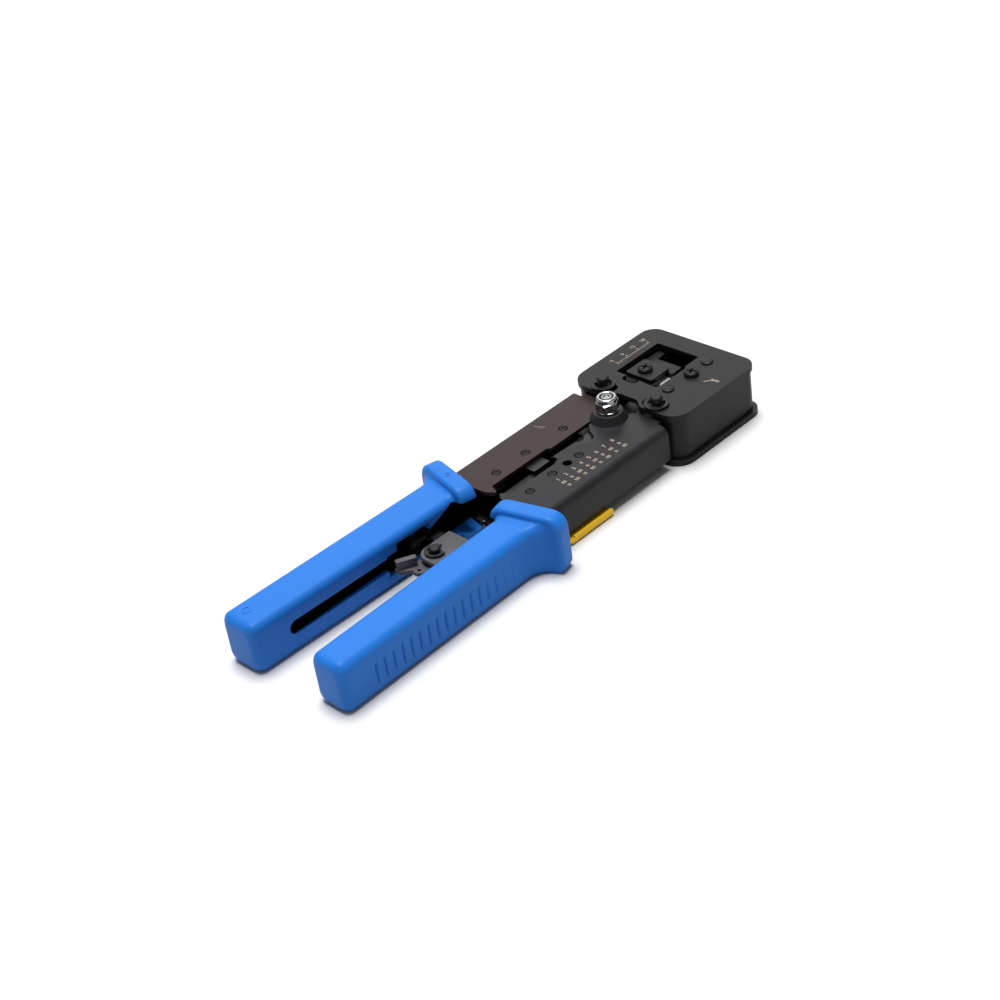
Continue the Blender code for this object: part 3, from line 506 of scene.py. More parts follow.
def head_band():
    """The side wall of the head: a strip round its top and sides, open where the handles enter."""
    wide = PLATE_X - BAND_INSET
    top = PLATE_TOP - BAND_INSET
    foot = PLATE_FOOT + BAND_INSET
    outer, wall, tight = 6.7, 2.0, 5.2
    corner = (wide - outer, foot + outer)
    quarter = math.pi / 2
    right = arc(corner, outer, -quarter, 0.0, 24)
    inner_right = arc(corner, outer - wall, 0.0, -quarter, 24)
    top_centre = (wide - tight, top - tight)
    right += arc(top_centre, tight, 0.0, quarter, 20)
    inner_right = arc(top_centre, tight - wall, quarter, 0.0, 20) + inner_right
    left = [(-p[0], p[1]) for p in reversed(right)]
    inner_left = [(-p[0], p[1]) for p in reversed(inner_right)]
    low, high = levels("head_band")
    return soften(prism("band", [right + left + inner_left + inner_right], low, high), 0.2)


def dome_rivet(node):
    low, high = levels(node)
    radius, seat, shank = 2.4, high - 0.7, 1.6
    dome = [(radius * math.sin(a), seat + 0.2 + 0.5 * math.cos(a)) for a in arc_angles(0.0, 90.0, 10)]
    foot = [(radius - 0.05, seat), (shank, seat), (shank, low), (0.0, low)]
    return lathe(node + "_turned", middle(node), [*dome, *foot])


def arc_angles(start, end, steps):
    return [math.radians(start + (end - start) * step / steps) for step in range(steps + 1)]


def panhead_screw(node):
    """A pan-head screw with a tapered cross recess."""
    low, high = levels(node)
    place = middle(node)
    radius, height = 2.9, 1.7
    base = high - height
    crown = [(radius * 0.55 * step / 4, high - 0.03 * step) for step in range(5)]
    shoulder = [
        (radius * (0.55 + 0.45 * math.sin(a)), base + 0.55 + (height - 0.67) * math.cos(a))
        for a in arc_angles(8.0, 90.0, 8)
    ]
    shank = [(radius, base + 0.1), (radius - 0.1, base), (RIVET_R, base), (RIVET_R, low), (0.0, low)]
    screw = lathe(node + "_turned", place, [*crown, *shoulder, *shank])
    for turn in (0.0, math.pi / 2):
        arm = [(-2.1, high + 0.4), (-1.3, base + 0.45), (1.3, base + 0.45), (2.1, high + 0.4)]
        tool = prism("recess", [arm], -0.42, 0.42, upright=True)
        centre = Matrix.Translation(Vector((*place, 0.0)) * MM)
        tool.matrix_world = centre @ Matrix.Rotation(turn + RECESS_TURN, 4, "Z")
        screw = cut(screw, tool)
    return screw


# Ram

def build_ram():
    hole_at = middle("clamp_screw")
    bore_r = RIVET_R + GAP
    hole = circle(hole_at, bore_r)
    carrier = [
        (-15.0, 33.8, 0.6), (-15.0, 15.0, 0.4), (-14.2, 15.0), (-14.2, 11.0, 1.2), (-7.8, 11.0, 1.2),
        (-7.8, 13.0), (0.24, 13.0, 0.5), (0.24, 16.6), (-3.0, 16.6), (-3.0, 23.4), (0.64, 23.4, 0.5),
        (0.64, 29.1, 0.8), (-11.4, 29.1), (-11.4, 33.8, 0.6),
    ]
    dress(soften(plate("carrier", carrier, levels("blade_carrier"), [hole]), 0.22), "blade_carrier")
    low, high = extents("blade_clamp_plate")
    clamp = block("clamp", (low.x, high.x), (low.y, high.y), (low.z, high.z), 1.0)
    above, below = high.z + 1.0, low.z - 1.0
    bore = lathe("bore", hole_at, [(0.0, above), (bore_r, above), (bore_r, below), (0.0, below)])
    dress(soften(cut(clamp, bore), 0.25), "blade_clamp_plate")
    dress(panhead_screw("clamp_screw"), "clamp_screw")
    build_pivot()


def build_pivot():
    low, high = levels("main_bolt")
    thread = []
    top = high - 0.5
    for turn in range(THREAD_TURNS):
        level = top - turn * THREAD_PITCH
        thread += [(BOLT_R, level), (BOLT_R - 0.3, level - THREAD_PITCH / 2)]
    hex_socket = [(0.0, high - 0.35), (1.1, high - 0.35), (1.35, high), (1.9, high)]
    thread_end = top - THREAD_TURNS * THREAD_PITCH
    head = [(BOLT_R, thread_end), (BOLT_R, 2.2), (4.6, 2.2), (4.6, 1.0), (3.9, low), (0.0, low)]
    dress(lathe("bolt", BOLT, [*hex_socket, *thread, *head]), "main_bolt")
    low, high = levels("lock_nut")
    corner = NUT_FLATS / 2 / math.cos(math.pi / 6)
    bead, bead_at = 0.72, 3.1
    collar = [
        (bead_at + bead * math.cos(a), high - bead + bead * math.sin(a)) for a in arc_angles(160.0, 0.0, 14)
    ]
    waist = high - 1.9
    blank = [*collar, (3.82, waist + 0.15), (3.9, waist), (5.2, waist - 0.75), (5.2, low + 0.6), (4.3, low)]
    nut = lathe("nut", BOLT, [*blank, (2.6, low), (2.6, high - 0.6)], ring=True)
    hexagon = prism("flats", [circle(BOLT, corner, 6)], low - 1.0, high + 1.0)
    nut = combine(nut, [hexagon], "INTERSECT")
    dress(soften(nut, 0.08, 2, 25.0, False), "lock_nut", 30.0)
    low, high = levels("nut_washer")
    ring = [(4.3, high - 0.15), (4.3, low), (2.6, low), (2.6, high), (4.1, high)]
    dress(lathe("washer", BOLT, ring, ring=True), "nut_washer")


# Handles

def handle_plan(side):
    """The handle's outline in plan, from its tang in the grip to its ear in the head."""
    pin = (side * PIN_X, 0.0)
    tang_x = 13.7
    outside = side * (CHANNEL_X[side] + 1.0)
    tang = [(side * tang_x, TANG_END), (outside, TANG_END)]
    shoulder = [(outside, -6.4), (side * 18.2, -6.4)]
    if side > 0:
        ear = arc(pin, EAR, math.radians(-20.0), math.radians(133.4), 24)
        hub = arc(BOLT, RING, math.radians(133.4), math.radians(249.0), 24)
        notch = arc((1.4, -27.4), 3.4, math.radians(60.0), math.radians(-50.0), 12)
        inner = [
            (0.0, -22.8), *notch, (1.0, -32.4), (1.0, -40.0), (2.8, -43.6), (3.8, -46.4), (3.8, -67.6),
            (0.0, -70.64), (2.6, -72.8), (tang_x, -73.4),
        ]
    else:
        ear = arc(pin, EAR, math.radians(200.0), math.radians(46.6), 24)
        hub = arc(BOLT, HUB, math.radians(46.6), math.radians(-125.0), 32)
        tip = rounded([(-5.5, -68.8), (-1.0, -70.64, 0.5), (-5.0, -72.8)], 6)[1:-1]
        inner = [
            (-4.2, -18.4), (-4.2, -39.2), (-5.5, -40.4), (-5.5, -68.8), *tip, (-5.0, -72.8), (-tang_x, -73.4),
        ]
    return [*tang, *shoulder, *ear, *hub, *inner]


def channel(name, side, outer_x, inner_x, span, bend, along):
    """A folded C-section of sheet with its back outwards, along Y."""
    low, high = span
    section = [
        (inner_x, low), (outer_x, low, bend), (outer_x, high, bend), (inner_x, high), (inner_x, high - SHEET),
        (outer_x - SHEET, high - SHEET, bend - SHEET), (outer_x - SHEET, low + SHEET, bend - SHEET),
        (inner_x, low + SHEET),
    ]
    return prism(name, [rounded(mirrored(section, side), 7)], *along, upright=True)


def dish(name, flat_low, rise, foot_low):
    """A pressed dish round the main bolt: a flat top, a sloping wall and a foot in the plate."""
    flat_high = flat_low + SHEET
    foot_high = foot_low + SHEET - 0.2
    crown = HUB + 0.6
    rim = crown + (1.7 if rise > 2.0 else 1.2)
    outside = [(crown + 0.1, flat_high), (crown + 0.4, flat_high - 0.12), (rim + 0.2, foot_high + 0.5),
               (rim + 0.5, foot_high), (8.0, foot_high)]
    inside = [(8.0, foot_low + 0.1), (rim, foot_low + 0.1), (crown, flat_low)]
    bore = [(BOLT_R + GAP, flat_low), (BOLT_R + GAP, flat_high)]
    return lathe(name, BOLT, [*outside, *inside, *bore], ring=True)


def sector(name, span):
    """The wedge that the left handle's ear sweeps beside the right handle's plates."""
    near, far, end = math.radians(50.0), math.radians(66.0), math.radians(247.0)
    outline = [Vector(BOLT), *arc(BOLT, 10.5, near, far, 4), *arc(BOLT, 17.0, far, end, 30)]
    return prism(name, [outline], *span)


def build_handle(side, rivets):
    name = "left" if side < 0 else "right"
    reach = -9.5 if side > 0 else -7.0
    along = (TANG_END - 1.0, EAR + 2.0)
    item = channel(name + "_fold", side, CHANNEL_X[side], reach, CHANNEL_Z, BEND[side], along)
    pin_hole = circle((side * PIN_X, 0.0), PIN_R + GAP)
    hub_hole = circle(BOLT, 7.1 if side > 0 else BOLT_R + GAP)
    plan = prism("plan", [handle_plan(side), pin_hole, hub_hole], 0.0, 30.0)
    solver = "MANIFOLD" if side > 0 else "EXACT"
    item = combine(item, [plan], "INTERSECT", solver)
    lower = sorted((side * LOWER_EDGE, side * 6.6))
    lower_z = (CHANNEL_Z[0], CHANNEL_Z[0] + SHEET)
    item = join(item, block("lower_edge", lower, LOWER_SPAN, lower_z), solver=solver)
    if side > 0:
        dome = dish("top_dish", CHANNEL_Z[1] - SHEET + DISH_RISE, DISH_RISE, CHANNEL_Z[1] - SHEET)
        dimple = dish("bottom_dish", CHANNEL_Z[0] + DIMPLE_RISE, DIMPLE_RISE, CHANNEL_Z[0])
        item = join(item, dome, dimple, solver=solver)
        sweeps = [sector("top_sweep", TOP_SWEEP_Z), sector("bottom_sweep", BOTTOM_SWEEP_Z)]
        item = cut(item, *sweeps, solver=solver)
    tools = [prism("drill", [circle(place, RIVET_R + GAP, 32)], *DRILL_Z) for place in rivets]
    item = cut(item, *tools, solver=solver)
    return dress(soften(item, 0.16, 2, 40.0), f"{name}_handle_channel")


def flush_rivet(node):
    """A flush rivet with a rolled rim and a staked dimple."""
    low, high = levels(node)
    dimple = [(0.0, high - 0.3), (0.5, high - 0.3), (0.75, high - 0.02)]
    rim = [(1.0, high), (1.35, high - 0.12), (RIVET_R, high - 0.4)]
    foot = [(RIVET_R, low + 0.6), (2.4, low + 0.6), (2.4, low), (0.0, low)]
    return lathe(node + "_turned", middle(node), [*dimple, *rim, *foot])


def head_pin(node):
    low, high = levels(node)
    clip = FRONT_Z[1] + 0.25
    crown = [
        (0.0, high - 0.12), (1.5, high), (1.9, high - 0.04), (PIN_R - 0.1, high - 0.4), (PIN_R, high - 0.7),
    ]
    groove = [(PIN_R, clip + 1.1), (1.5, clip + 1.1), (1.5, clip - 0.15), (PIN_R, clip - 0.15)]
    body = [(PIN_R, 16.2), (3.4, 16.2), (3.4, 4.4), (PIN_R, 4.4), (PIN_R, 0.7), (1.9, low), (0.0, low)]
    return lathe(node + "_turned", middle(node), [*crown, *groove, *body])


def retaining_clip(node, centre, outer, inner, facing):
    """An E-clip: a sprung ring with a mouth and three prongs that grip the pin's groove."""
    mouth = math.radians(38.0)
    waist = (outer + inner) / 2 + 0.1
    outside = arc(centre, outer, facing + mouth, facing + math.tau - mouth, 48)
    start, end = facing + math.tau - mouth, facing + mouth
    inside = []
    prong = math.radians(17.0)
    stops = [start, start - prong, math.pi + facing + prong, math.pi + facing - prong, end + prong, end]
    for index in range(5):
        radius = inner if index % 2 == 0 else waist
        inside += arc(centre, radius, stops[index], stops[index + 1], 10)
    item = prism(node + "_cut", [outside + inside], *levels(node))
    return dress(soften(item, 0.12, 2), node)


def build_left():
    places = [middle(f"left_blade_rivet_{index}") for index in (1, 2, 3)]
    build_handle(-1, places)
    dress(head_pin("left_head_pin"), "left_head_pin")
    retaining_clip("left_pin_clip", (-PIN_X, 0.0), 4.7, 1.8, math.radians(150.0))
    for index in (1, 2, 3):
        node = f"left_blade_rivet_{index}"
        dress(flush_rivet(node), node)
    build_grip(-1, [(-96.0, 16.2), (-111.0, 16.2), (-111.2, 13.4)])


def build_right():
    places = [middle(f"right_blade_rivet_{index}") for index in (1, 2, 3)]
    spare = (places[2][0], -43.2)
    build_handle(1, [*places, spare])
    dress(head_pin("right_head_pin"), "right_head_pin")
    retaining_clip("right_pin_clip", (PIN_X, 0.0), 4.7, 1.8, math.radians(120.0))
    for index in (1, 2, 3):
        node = f"right_blade_rivet_{index}"
        dress(flush_rivet(node), node)
    build_grip(1, [])
    build_ratchet()
    build_pawl()


# Grips

def ring_of(x_low, x_high, z_low, z_high, r_top, r_low, corner=7, wall=14, deck=8):
    """A rounded rectangle in X and Z, from its lower outer corner and up the outer wall."""
    points = []
    spans = (
        ((x_high - r_low, z_low + r_low), r_low, -90.0),
        ((x_high - r_top, z_high - r_top), r_top, 0.0),
        ((x_low + r_top, z_high - r_top), r_top, 90.0),
        ((x_low + r_low, z_low + r_low), r_low, 180.0),
    )
    for index, (centre, radius, start) in enumerate(spans):
        turn = [
            (centre[0] + radius * math.cos(a), centre[1] + radius * math.sin(a))
            for a in arc_angles(start, start + 90.0, corner)
        ]
        points += turn
        following = spans[(index + 1) % 4]
        first = turn[-1]
        angle = math.radians(following[2])
        last = (
            following[0][0] + following[1] * math.cos(angle),
            following[0][1] + following[1] * math.sin(angle),
        )
        count = wall if index % 2 == 0 else deck
        for step in range(1, count):
            share = step / count
            points.append((first[0] + (last[0] - first[0]) * share, first[1] + (last[1] - first[1]) * share))
    return points


RIB_PITCH = 4.0
RIB_COUNT = 17
RIB_FIRST = -157.2
RIB_DEPTH = 0.75
END_ROUND = 3.2
GRIP_TOP_R = {-1: 3.0, 1: 3.6}
FLARE_RIM = 1.7
FLARE_STEPS = 25
FLARE_REACH = 9.0
FLARE_SWEEP = {-1: 4.5, 1: 6.5}


def grip_stations(end):
    """(place along the grip, inset of x, inset of z) from the rounded end to the last plain section."""
    stations = []
    for angle in arc_angles(0.0, 90.0, 9):
        flat = 1.0 - math.sin(angle)
        stations.append((end + END_ROUND * (1.0 - math.cos(angle)), END_ROUND * flat, END_ROUND * flat))
    steps = (-1.3, -0.9, -0.6, -0.4, -0.2, 0.0, 0.2, 0.4, 0.6, 0.9, 1.3)
    places = {round(RIB_FIRST + RIB_PITCH * index + step, 3) for index in range(RIB_COUNT) for step in steps}
    places |= {end + 5.5, end + 8.0, -162.5, -160.5}
    stations += [(y, 0.0, 0.0) for y in sorted(places) if y < GRIP_ROOT - 1.5]
    return stations


def blend(low, high, share):
    share = min(1.0, max(0.0, share))
    return low + (high - low) * share * share * (3.0 - 2.0 * share)


def grip_section(side, y):
    share = (GRIP_ROOT - y) / (GRIP_ROOT - GRIP_END[side])
    low = GRIP_IN[side][0] + (GRIP_IN[side][1] - GRIP_IN[side][0]) * share
    high = GRIP_OUT[side][0] + (GRIP_OUT[side][1] - GRIP_OUT[side][0]) * share
    return low, high


def rib(y, z):
    """How far a finger groove sinks into the outer wall."""
    offset = (y - RIB_FIRST) / RIB_PITCH
    near = round(offset)
    if near < 0 or near >= RIB_COUNT:
        return 0.0
    across = (offset - near) * RIB_PITCH
    fade = blend(0.0, 1.0, (z - 3.6) / 1.6) * blend(1.0, 0.0, (z - 11.4) / 1.8)
    along = blend(1.0, 0.25, (near - 11) / 5.0)
    return RIB_DEPTH * math.exp(-((across / 0.38) ** 2)) * fade * along


def fillet(share):
    """The height of a concave quarter round, from 1 at its wall down to 0 where it runs out."""
    share = min(1.0, max(0.0, share))
    return 1.0 - math.sqrt(max(0.0, 1.0 - (1.0 - share) ** 2))


def build_grip(side, notch):
    """A lofted grip: a rounded bar whose sections swell into a tilted guard at the front."""
    rows = []
    for y, inset_x, inset_z in grip_stations(GRIP_END[side]):
        low, high = grip_section(side, y)
        ring = ring_of(low + inset_x, high - inset_x, inset_z, GRIP_Z - inset_z, GRIP_TOP_R[side], 3.0)
        row = []
        for x, z in ring:
            if high - inset_x - x < 0.02:
                x -= rib(y, z)
            row.append((side * x, y, z))
        rows.append(row)
    half_x, half_y = FLARE_HALF
    root_low, root_high = grip_section(side, GRIP_ROOT)
    for step in range(FLARE_STEPS):
        share = step / FLARE_STEPS
        back = FLARE_REACH * (1.0 - share) ** 1.25
        swell = blend(0.0, 1.0, 1.15 * share)
        inside = fillet(back / 3.4)
        out = fillet(back / FLARE_SWEEP[side])
        rise = fillet(back / 3.2)
        shift = math.sin(FLARE_TILT) * half_y * swell
        base_low = root_low - FLARE_AT[0] - shift
        base_high = root_high - FLARE_AT[0] - shift
        low = base_low + (FLARE_RIM - half_x - base_low) * inside
        high = base_high + (half_x - FLARE_RIM - base_high) * out
        top = GRIP_Z + (FLARE_Z - FLARE_RIM - GRIP_Z) * rise
        radius = GRIP_TOP_R[side] + (4.8 - GRIP_TOP_R[side]) * rise
        centre = (FLARE_AT[0] + shift, FLARE_AT[1] - half_y * math.cos(FLARE_TILT) - back)
        rows.append(guard_row(side, centre, FLARE_TILT * swell, (low, high), (0.0, top), (radius, 3.0)))
    for along, rim in guard_rims(half_y):
        centre = (FLARE_AT[0] - along * math.sin(FLARE_TILT), FLARE_AT[1] + along * math.cos(FLARE_TILT))
        foot = 0.5 * rim if along > 0.0 else 0.0
        span = (rim - half_x, half_x - rim)
        rows.append(guard_row(side, centre, FLARE_TILT, span, (foot, FLARE_Z - rim), (5.2, 3.4)))
    item = loft("left_body" if side < 0 else "right_body", rows)
    item = hollow(item, side, notch)
    name = "left_grip" if side < 0 else "right_grip"
    soften(item, 0.22, 2, 50.0, False)
    return dress(item, name, 45.0)


def guard_rims(half_y):
    """(place across the guard, how far its rim has rounded off) from the back face to the front."""
    rims = []
    for angle in arc_angles(0.0, 90.0, 7):
        rims.append((FLARE_RIM * (1.0 - math.cos(angle)) - half_y, FLARE_RIM * (1.0 - math.sin(angle))))
    return rims + [(-along, rim) for along, rim in reversed(rims)]


def guard_row(side, centre, turn, x_span, z_span, radii):
    """A section of the guard, in a plane turned about the vertical through its centre."""
    row = []
    spin = Matrix.Rotation(turn, 2)
    for x, z in ring_of(*x_span, *z_span, *radii):
        flat = Vector(centre) + spin @ Vector((x, 0.0))
        row.append((side * flat.x, flat.y, z))
    return row


def loft(name, rows):
    work = bmesh.new()
    rings = [[work.verts.new(Vector(p) * MM) for p in row] for row in rows]
    count = len(rings[0])
    for first, second in zip(rings, rings[1:]):
        for index in range(count):
            after = (index + 1) % count
            work.faces.new((first[index], first[after], second[after], second[index]))
    work.faces.new(rings[0])
    work.faces.new(rings[-1])
    bmesh.ops.recalc_face_normals(work, faces=work.faces)
    mesh = bpy.data.meshes.new(name)
    work.to_mesh(mesh)
    work.free()
    return add_object(name, mesh)


def hollow(item, side, notch):
    """Cut the socket for the tang and open the inner wall for the ratchet."""
    low, high = sorted((side * 13.4, side * (CHANNEL_X[side] + GAP)))
    cavity = block("cavity", (low, high), (-162.0, -60.0), (2.3, 18.3), 0.6)
    gate = [
        (-116.0, 4.6), (-60.0, 4.6), (-60.0, 18.0), (-84.0, 18.0, 2.0), (-95.6, 13.4), *notch, (-116.0, 13.4),
    ]
    slit = [(-160.0, 7.2, 2.6), (-112.0, 7.2), (-112.0, 12.6), (-160.0, 12.6, 2.6)]
    tools = [cavity]
    for outline in (gate, slit):
        near, far = sorted((-side * 4.0, -side * 14.0))
        tool = prism("opening", [rounded(outline)], near, far, upright=True)
        tool.matrix_world = Matrix.Rotation(math.pi / 2, 4, "Z")
        tools.append(tool)
    return cut(item, *tools)


# Ratchet and lock

def build_ratchet():
    low, high = extents("pawl_bracket")
    item = channel("bracket", 1, high.x, -7.0, (low.z, high.z), 2.2, (-116.0, -88.0))
    nose = arc(PAWL, 5.2, math.radians(180.0), math.radians(270.0), 20)
    plan = [(-5.2, -91.7), *nose, (22.0, -108.9), (22.0, -91.7)]
    outline = prism("bracket_plan", [plan, circle(PAWL, PAWL_PIN_R + GAP)], 0.0, 30.0)
    # The bracket takes the lighter black: painted light in the shade between the grips.
    dress(soften(combine(item, [outline], "INTERSECT"), 0.25, 2, 40.0), "pawl_bracket", finish=LIGHTENED_BLACK)
    clip = levels("pawl_pin_clip")[0]
    radius = PAWL_PIN_R
    low, high = levels("pawl_pin")
    crown = [(0.0, high - 0.1), (1.2, high), (1.6, high - 0.05), (radius - 0.08, high - 0.35)]
    crown.append((radius, high - 0.6))
    groove = [(radius, clip + 0.9), (1.3, clip + 0.9), (1.3, clip - 0.15), (radius, clip - 0.15)]
    foot = [(radius, 5.1), (3.2, 5.1), (3.2, low), (0.0, low)]
    dress(lathe("pin", PAWL, [*crown, *groove, *foot]), "pawl_pin")
    retaining_clip("pawl_pin_clip", PAWL, 3.8, 1.5, math.radians(60.0))


def build_pawl():
    """The pawl: a boss with one tooth, a round spring eye and a thin tab that stands up."""
    low, high = levels("ratchet_rack")
    reach = extents("ratchet_pawl")[1].z
    tip = BOLT[1] - TOOTH_REACH
    eye = (-0.4, -111.6)
    boss = prism("boss", [circle(PAWL, 3.6)], low, high)
    tooth = [(-1.9, PAWL[1] + 2.0), (1.9, PAWL[1] + 2.0), (0.35, tip), (-0.35, tip)]
    arm = [
        (-3.2, -104.6), (2.4, -105.0), (2.4, -110.0, 1.5), (eye[0] + 2.2, -112.2, 1.0),
        (eye[0], -114.0, 1.6), (-2.2, -112.8, 0.8), (-5.6, -116.2, 0.6), (-8.4, -116.2, 0.6),
    ]
    tab = [(-6.2, -116.4, 0.7), (-8.2, -115.4, 0.7), (-4.6, -108.9, 0.5), (-2.7, -109.8, 0.5)]
    boss = join(
        boss, prism("tooth", [tooth], low, high), prism("arm", [rounded(arm)], low + 0.05, high - 0.05),
        prism("tab", [rounded(tab)], low + 0.2, reach),
    )
    bores = [prism("bore", [circle(PAWL, PAWL_PIN_R + GAP)], low - 1.0, high + 1.0)]
    bores.append(prism("eye", [circle(eye, 0.8, 32)], low - 1.0, high + 1.0))
    # The pawl takes the lighter black: painted light in the shade between the grips.
    dress(soften(cut(boss, *bores), 0.15, 2, 40.0), "ratchet_pawl", finish=LIGHTENED_BLACK)


def build_lock_lever():
    """The lock lever's strip, with soft bends and a raised lip along its outer edge."""
    outline = [
        (LEVER_OUT, -38.2, 1.0), (20.6, -42.0, 0.8), (20.2, -60.0, 1.5), (17.0, -62.4, 1.5),
        (-9.0, -64.8, 1.0), (-13.2, -65.6, 1.0), (-13.6, -70.1, 0.5), (-11.4, -70.1, 0.5),
        (-10.8, -68.4, 1.0), (15.0, -69.4, 1.5), (20.4, -68.6, 2.0), (LEVER_OUT, -62.0, 2.0),
    ]
    low = levels("lock_lever")[0]
    lever = plate("lever", outline, (low, low + LEVER_THICK), [circle(LEVER, 1.6)])
    lip = block("lip", (LEVER_OUT - 1.0, LEVER_OUT), (-60.5, -40.5), (low + 0.7, levels("lock_lever")[1]))
    lever = join(lever, lip)
    dress(soften(lever, 0.3, 3), "lock_lever")


# Moulded marks on the grips

def raised_ring(name, place, radius, wall, body):
    """A shallow moulded ring that stands just proud of a flat top."""
    top = 0.16
    profile = [(radius + wall, top), (radius + wall, -0.2), (radius - wall, -0.2), (radius - wall, top)]
    item = lathe(name, place[:2], profile, ring=True)
    item.location.z = place[2] * MM
    item = settled(item)
    item.data.materials.append(FINISHES["blue_grip"])
    item.data.shade_smooth()
    item.data.set_sharp_from_angle(angle=math.radians(38.0))
    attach(item, body)


def mould_marks():
    raised_ring("left_end_mark", (-22.6, -168.4, GRIP_Z), 1.5, 0.22, "left_handle")
    raised_ring("left_guard_mark", (-19.2, -76.6, FLARE_Z), 0.9, 0.2, "left_handle")


# Printed marks

def stencil(name, text, size, place, angle, depth=PRINT_TOP):
    """A printed number on a flat top: its baseline starts at a place and runs at an angle."""
    words = bpy.data.curves.new(name, "FONT")
    words.body = text
    words.size = size * MM
    words.extrude = depth / 2 * MM
    words.align_x = "CENTER"
    words.align_y = "CENTER"
    item = add_object(name, words)
    item.location = Vector(place) * MM
    item.rotation_euler.z = angle
    return settled(item)


def bar(name, place, length, width, angle, depth=PRINT_TOP):
    half = length / 2
    shape = prism(name, [box_outline(-half, half, -width / 2, width / 2)], -depth / 2, depth / 2)
    shape.matrix_world = Matrix.Translation(Vector(place) * MM) @ Matrix.Rotation(angle, 4, "Z")
    return settled(shape)


def merged(name, items):
    """Several flat marks as one piece."""
    work = bmesh.new()
    for item in items:
        work.from_mesh(item.data)
        bpy.data.objects.remove(item, do_unlink=True)
    mesh = bpy.data.meshes.new(name)
    work.to_mesh(mesh)
    work.free()
    mesh.materials.clear()
    mesh.materials.append(INK)
    return add_object(name, mesh)


def print_handle():
    """The eight contacts' numbers, each with two rows of short bars for its wires."""
    quarter = math.pi / 2
    top = CHANNEL_Z[1] + PRINT_TOP / 2
    marks = []
    for index in range(8):
        y = NUMBERS_AT[1] + 4.15 * index + 0.12 * max(0, index - 5) ** 2
        place = (NUMBERS_AT[0] - 0.08 * index, y, top)
        marks.append(stencil(f"number_{index}", str(index + 1), 2.6, place, quarter))
        for row, x in enumerate((14.6, 17.2)):
            wide = 2.0 if (index + row) % 2 == 0 else 1.2
            marks.append(bar(f"wire_{index}_{row}", (x - 0.4, y, top), wide, 0.36, quarter))
            marks.append(bar(f"pair_{index}_{row}", (x + 0.4, y, top), wide, 0.36, quarter))
    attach(merged("right_handle_print", marks), "right_handle")


def scratch_plate():
    """A short double scratch in the left handle's finish."""
    top = CHANNEL_Z[1] + PRINT_TOP / 2
    marks = [
        bar("scratch_1", (-17.6, -30.8, top), 4.4, 0.16, math.radians(27.0)),
        bar("scratch_2", (-16.6, -31.2, top), 2.6, 0.12, math.radians(33.0)),
    ]
    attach(merged("left_handle_scratch", marks), "left_handle")


def print_head():
    """A plain scale beside the window and a number with an arrow beside the screw."""
    top = FRONT_Z[1] + PRINT_TOP / 2
    quarter = math.pi / 2
    marks = []
    for step in range(SCALE_LENGTH + 1):
        length = 2.0 if step % SCALE_STEP == 0 else 1.0
        place = (SCALE_AT[0] - length / 2, SCALE_AT[1] + step, top)
        marks.append(bar(f"tick_{step}", place, length, 0.25, 0.0))
    for number in range(0, SCALE_LENGTH + 1, SCALE_STEP):
        place = (SCALE_AT[0] - 3.7, SCALE_AT[1] + number, top)
        marks.append(stencil(f"scale_{number}", str(number), 2.4, place, quarter))
    marks.append(stencil("size", "8", 3.0, (21.6, 24.4, top), quarter))
    marks.append(bar("stem", (18.6, 23.0, top), 3.6, 0.35, math.radians(50.0)))
    marks.append(bar("barb_1", (19.4, 24.6, top), 1.3, 0.35, math.radians(15.0)))
    marks.append(bar("barb_2", (20.0, 23.9, top), 1.3, 0.35, math.radians(85.0)))
    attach(merged("head_print", marks), "head")


# Finish of the CAD nodes that stay

BLACKENED = (
    "die_block", "ram_slide", "crimp_punch", "stripping_anvil", "cutter_anvil", "cutter_blade",
    "stripper_blade", "pivot_bush",
)


def dress_remaining():
    for node, item in frame["nodes"].items():
        if item.hide_render:
            continue
        finish = FINISHES[SLOT_OF[node]]
        if node in BLACKENED:
            finish = DARK_STEEL
        if node == "trim_blade":
            # The trim blade takes the pale steel: painted light in place of the light that the window's edges
            # shade off.
            finish = LIT_TRIM_STEEL
        item.data.materials.clear()
        item.data.materials.append(finish)
        item.data.shade_smooth()
        item.data.set_sharp_from_angle(angle=math.radians(35.0))


# Studio

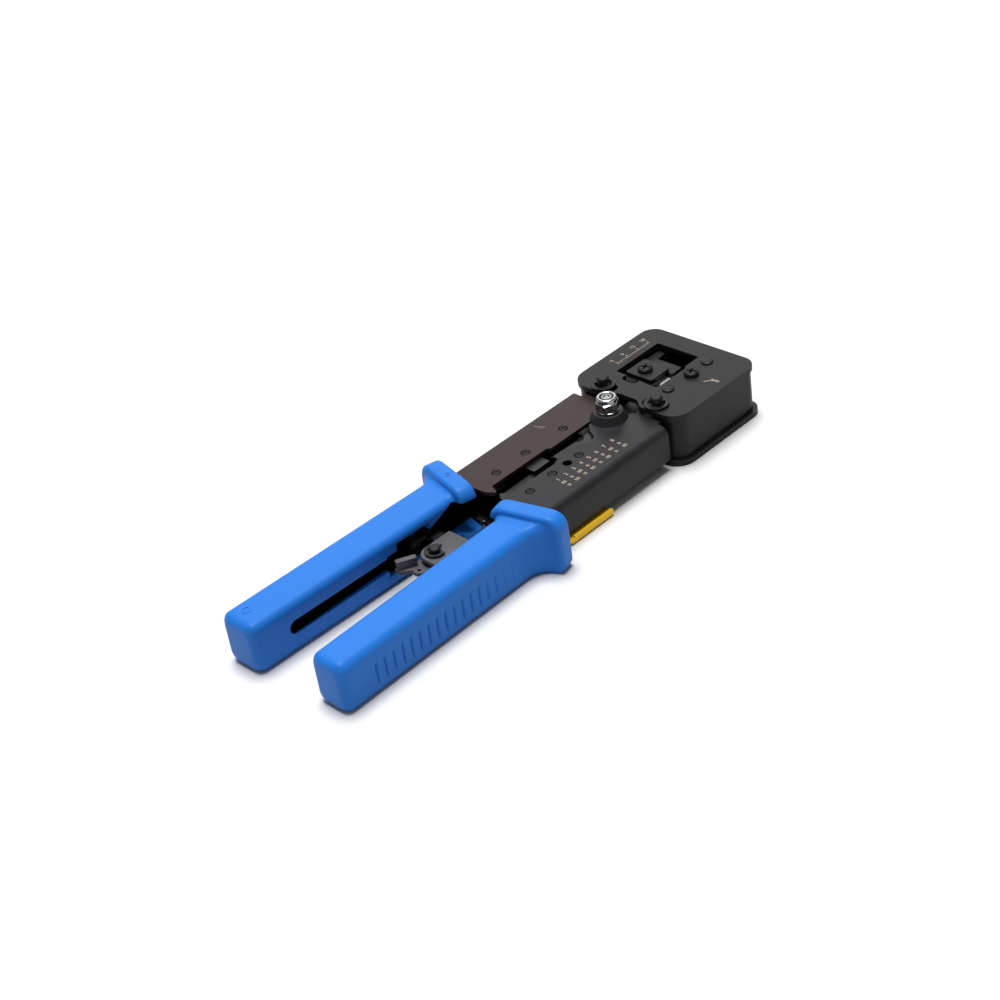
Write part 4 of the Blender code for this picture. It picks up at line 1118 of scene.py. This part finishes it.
def build_studio():
    floor = block("floor", (-20000.0, 20000.0), (-20000.0, 20000.0), (-4.0, -0.05))
    finish, _, shader = new_material("floor_white")
    shader.inputs["Base Color"].default_value = (0.67, 0.67, 0.67, 1.0)
    shader.inputs["Roughness"].default_value = 0.9
    floor.data.materials.append(finish)
    world = bpy.data.worlds.new("studio")
    bpy.context.scene.world = world
    world.use_nodes = True
    sky = world.node_tree.nodes["Background"]
    sky.inputs["Color"].default_value = (1.0, 1.0, 1.0, 1.0)
    sky.inputs["Strength"].default_value = 0.22
    sun((-0.12, 0.08, 1.2), math.radians(30.0), 4.2)
    lamp("back", (-0.75, 0.7, 0.75), 0.9, 4.0)


def sun(toward, spread_angle, strength):
    """An even soft light from one direction, which reaches the whole floor."""
    light = bpy.data.lights.new("key", "SUN")
    light.angle = spread_angle
    light.energy = strength
    item = bpy.data.objects.new("key", light)
    bpy.context.scene.collection.objects.link(item)
    item.rotation_euler = Vector(toward).to_track_quat("Z", "Y").to_euler()


def lamp(name, place, size, power):
    """A square soft light that looks at the middle of the tool."""
    light = bpy.data.lights.new(name, "AREA")
    light.shape = "SQUARE"
    light.size = size
    light.energy = power
    item = bpy.data.objects.new(name, light)
    bpy.context.scene.collection.objects.link(item)
    target = Vector((0.0, -0.06, 0.0))
    item.location = place
    item.rotation_euler = (target - Vector(place)).to_track_quat("-Z", "Y").to_euler()


CAMERA_AT = (0.4316, -0.4496, 0.4000)
CAMERA_LENS = 70.95
CAMERA_TURN = math.radians(-48.733)
CAMERA_DIP = math.radians(33.817)
CAMERA_ROLL = math.radians(-8.947)


def build_camera():
    view = Vector((
        math.sin(CAMERA_TURN) * math.cos(CAMERA_DIP), math.cos(CAMERA_TURN) * math.cos(CAMERA_DIP),
        -math.sin(CAMERA_DIP),
    ))
    right = view.cross(Vector((0.0, 0.0, 1.0))).normalized()
    up = right.cross(view)
    across = right * math.cos(CAMERA_ROLL) + up * math.sin(CAMERA_ROLL)
    upward = up * math.cos(CAMERA_ROLL) - right * math.sin(CAMERA_ROLL)
    lens = bpy.data.cameras.new("camera")
    lens.lens = CAMERA_LENS
    lens.sensor_width = 36.0
    lens.clip_start = 0.01
    item = bpy.data.objects.new("camera", lens)
    bpy.context.scene.collection.objects.link(item)
    turn = Matrix((across, upward, -view)).transposed().to_4x4()
    item.matrix_world = Matrix.Translation(CAMERA_AT) @ turn
    bpy.context.scene.camera = item


build_camera()
build_studio()
build_head()
build_ram()
build_left()
build_right()
build_lock_lever()
mould_marks()
print_handle()
scratch_plate()
print_head()
dress_remaining()
bpy.context.scene.view_settings.view_transform = "Standard"

bpy.context.view_layer.update()
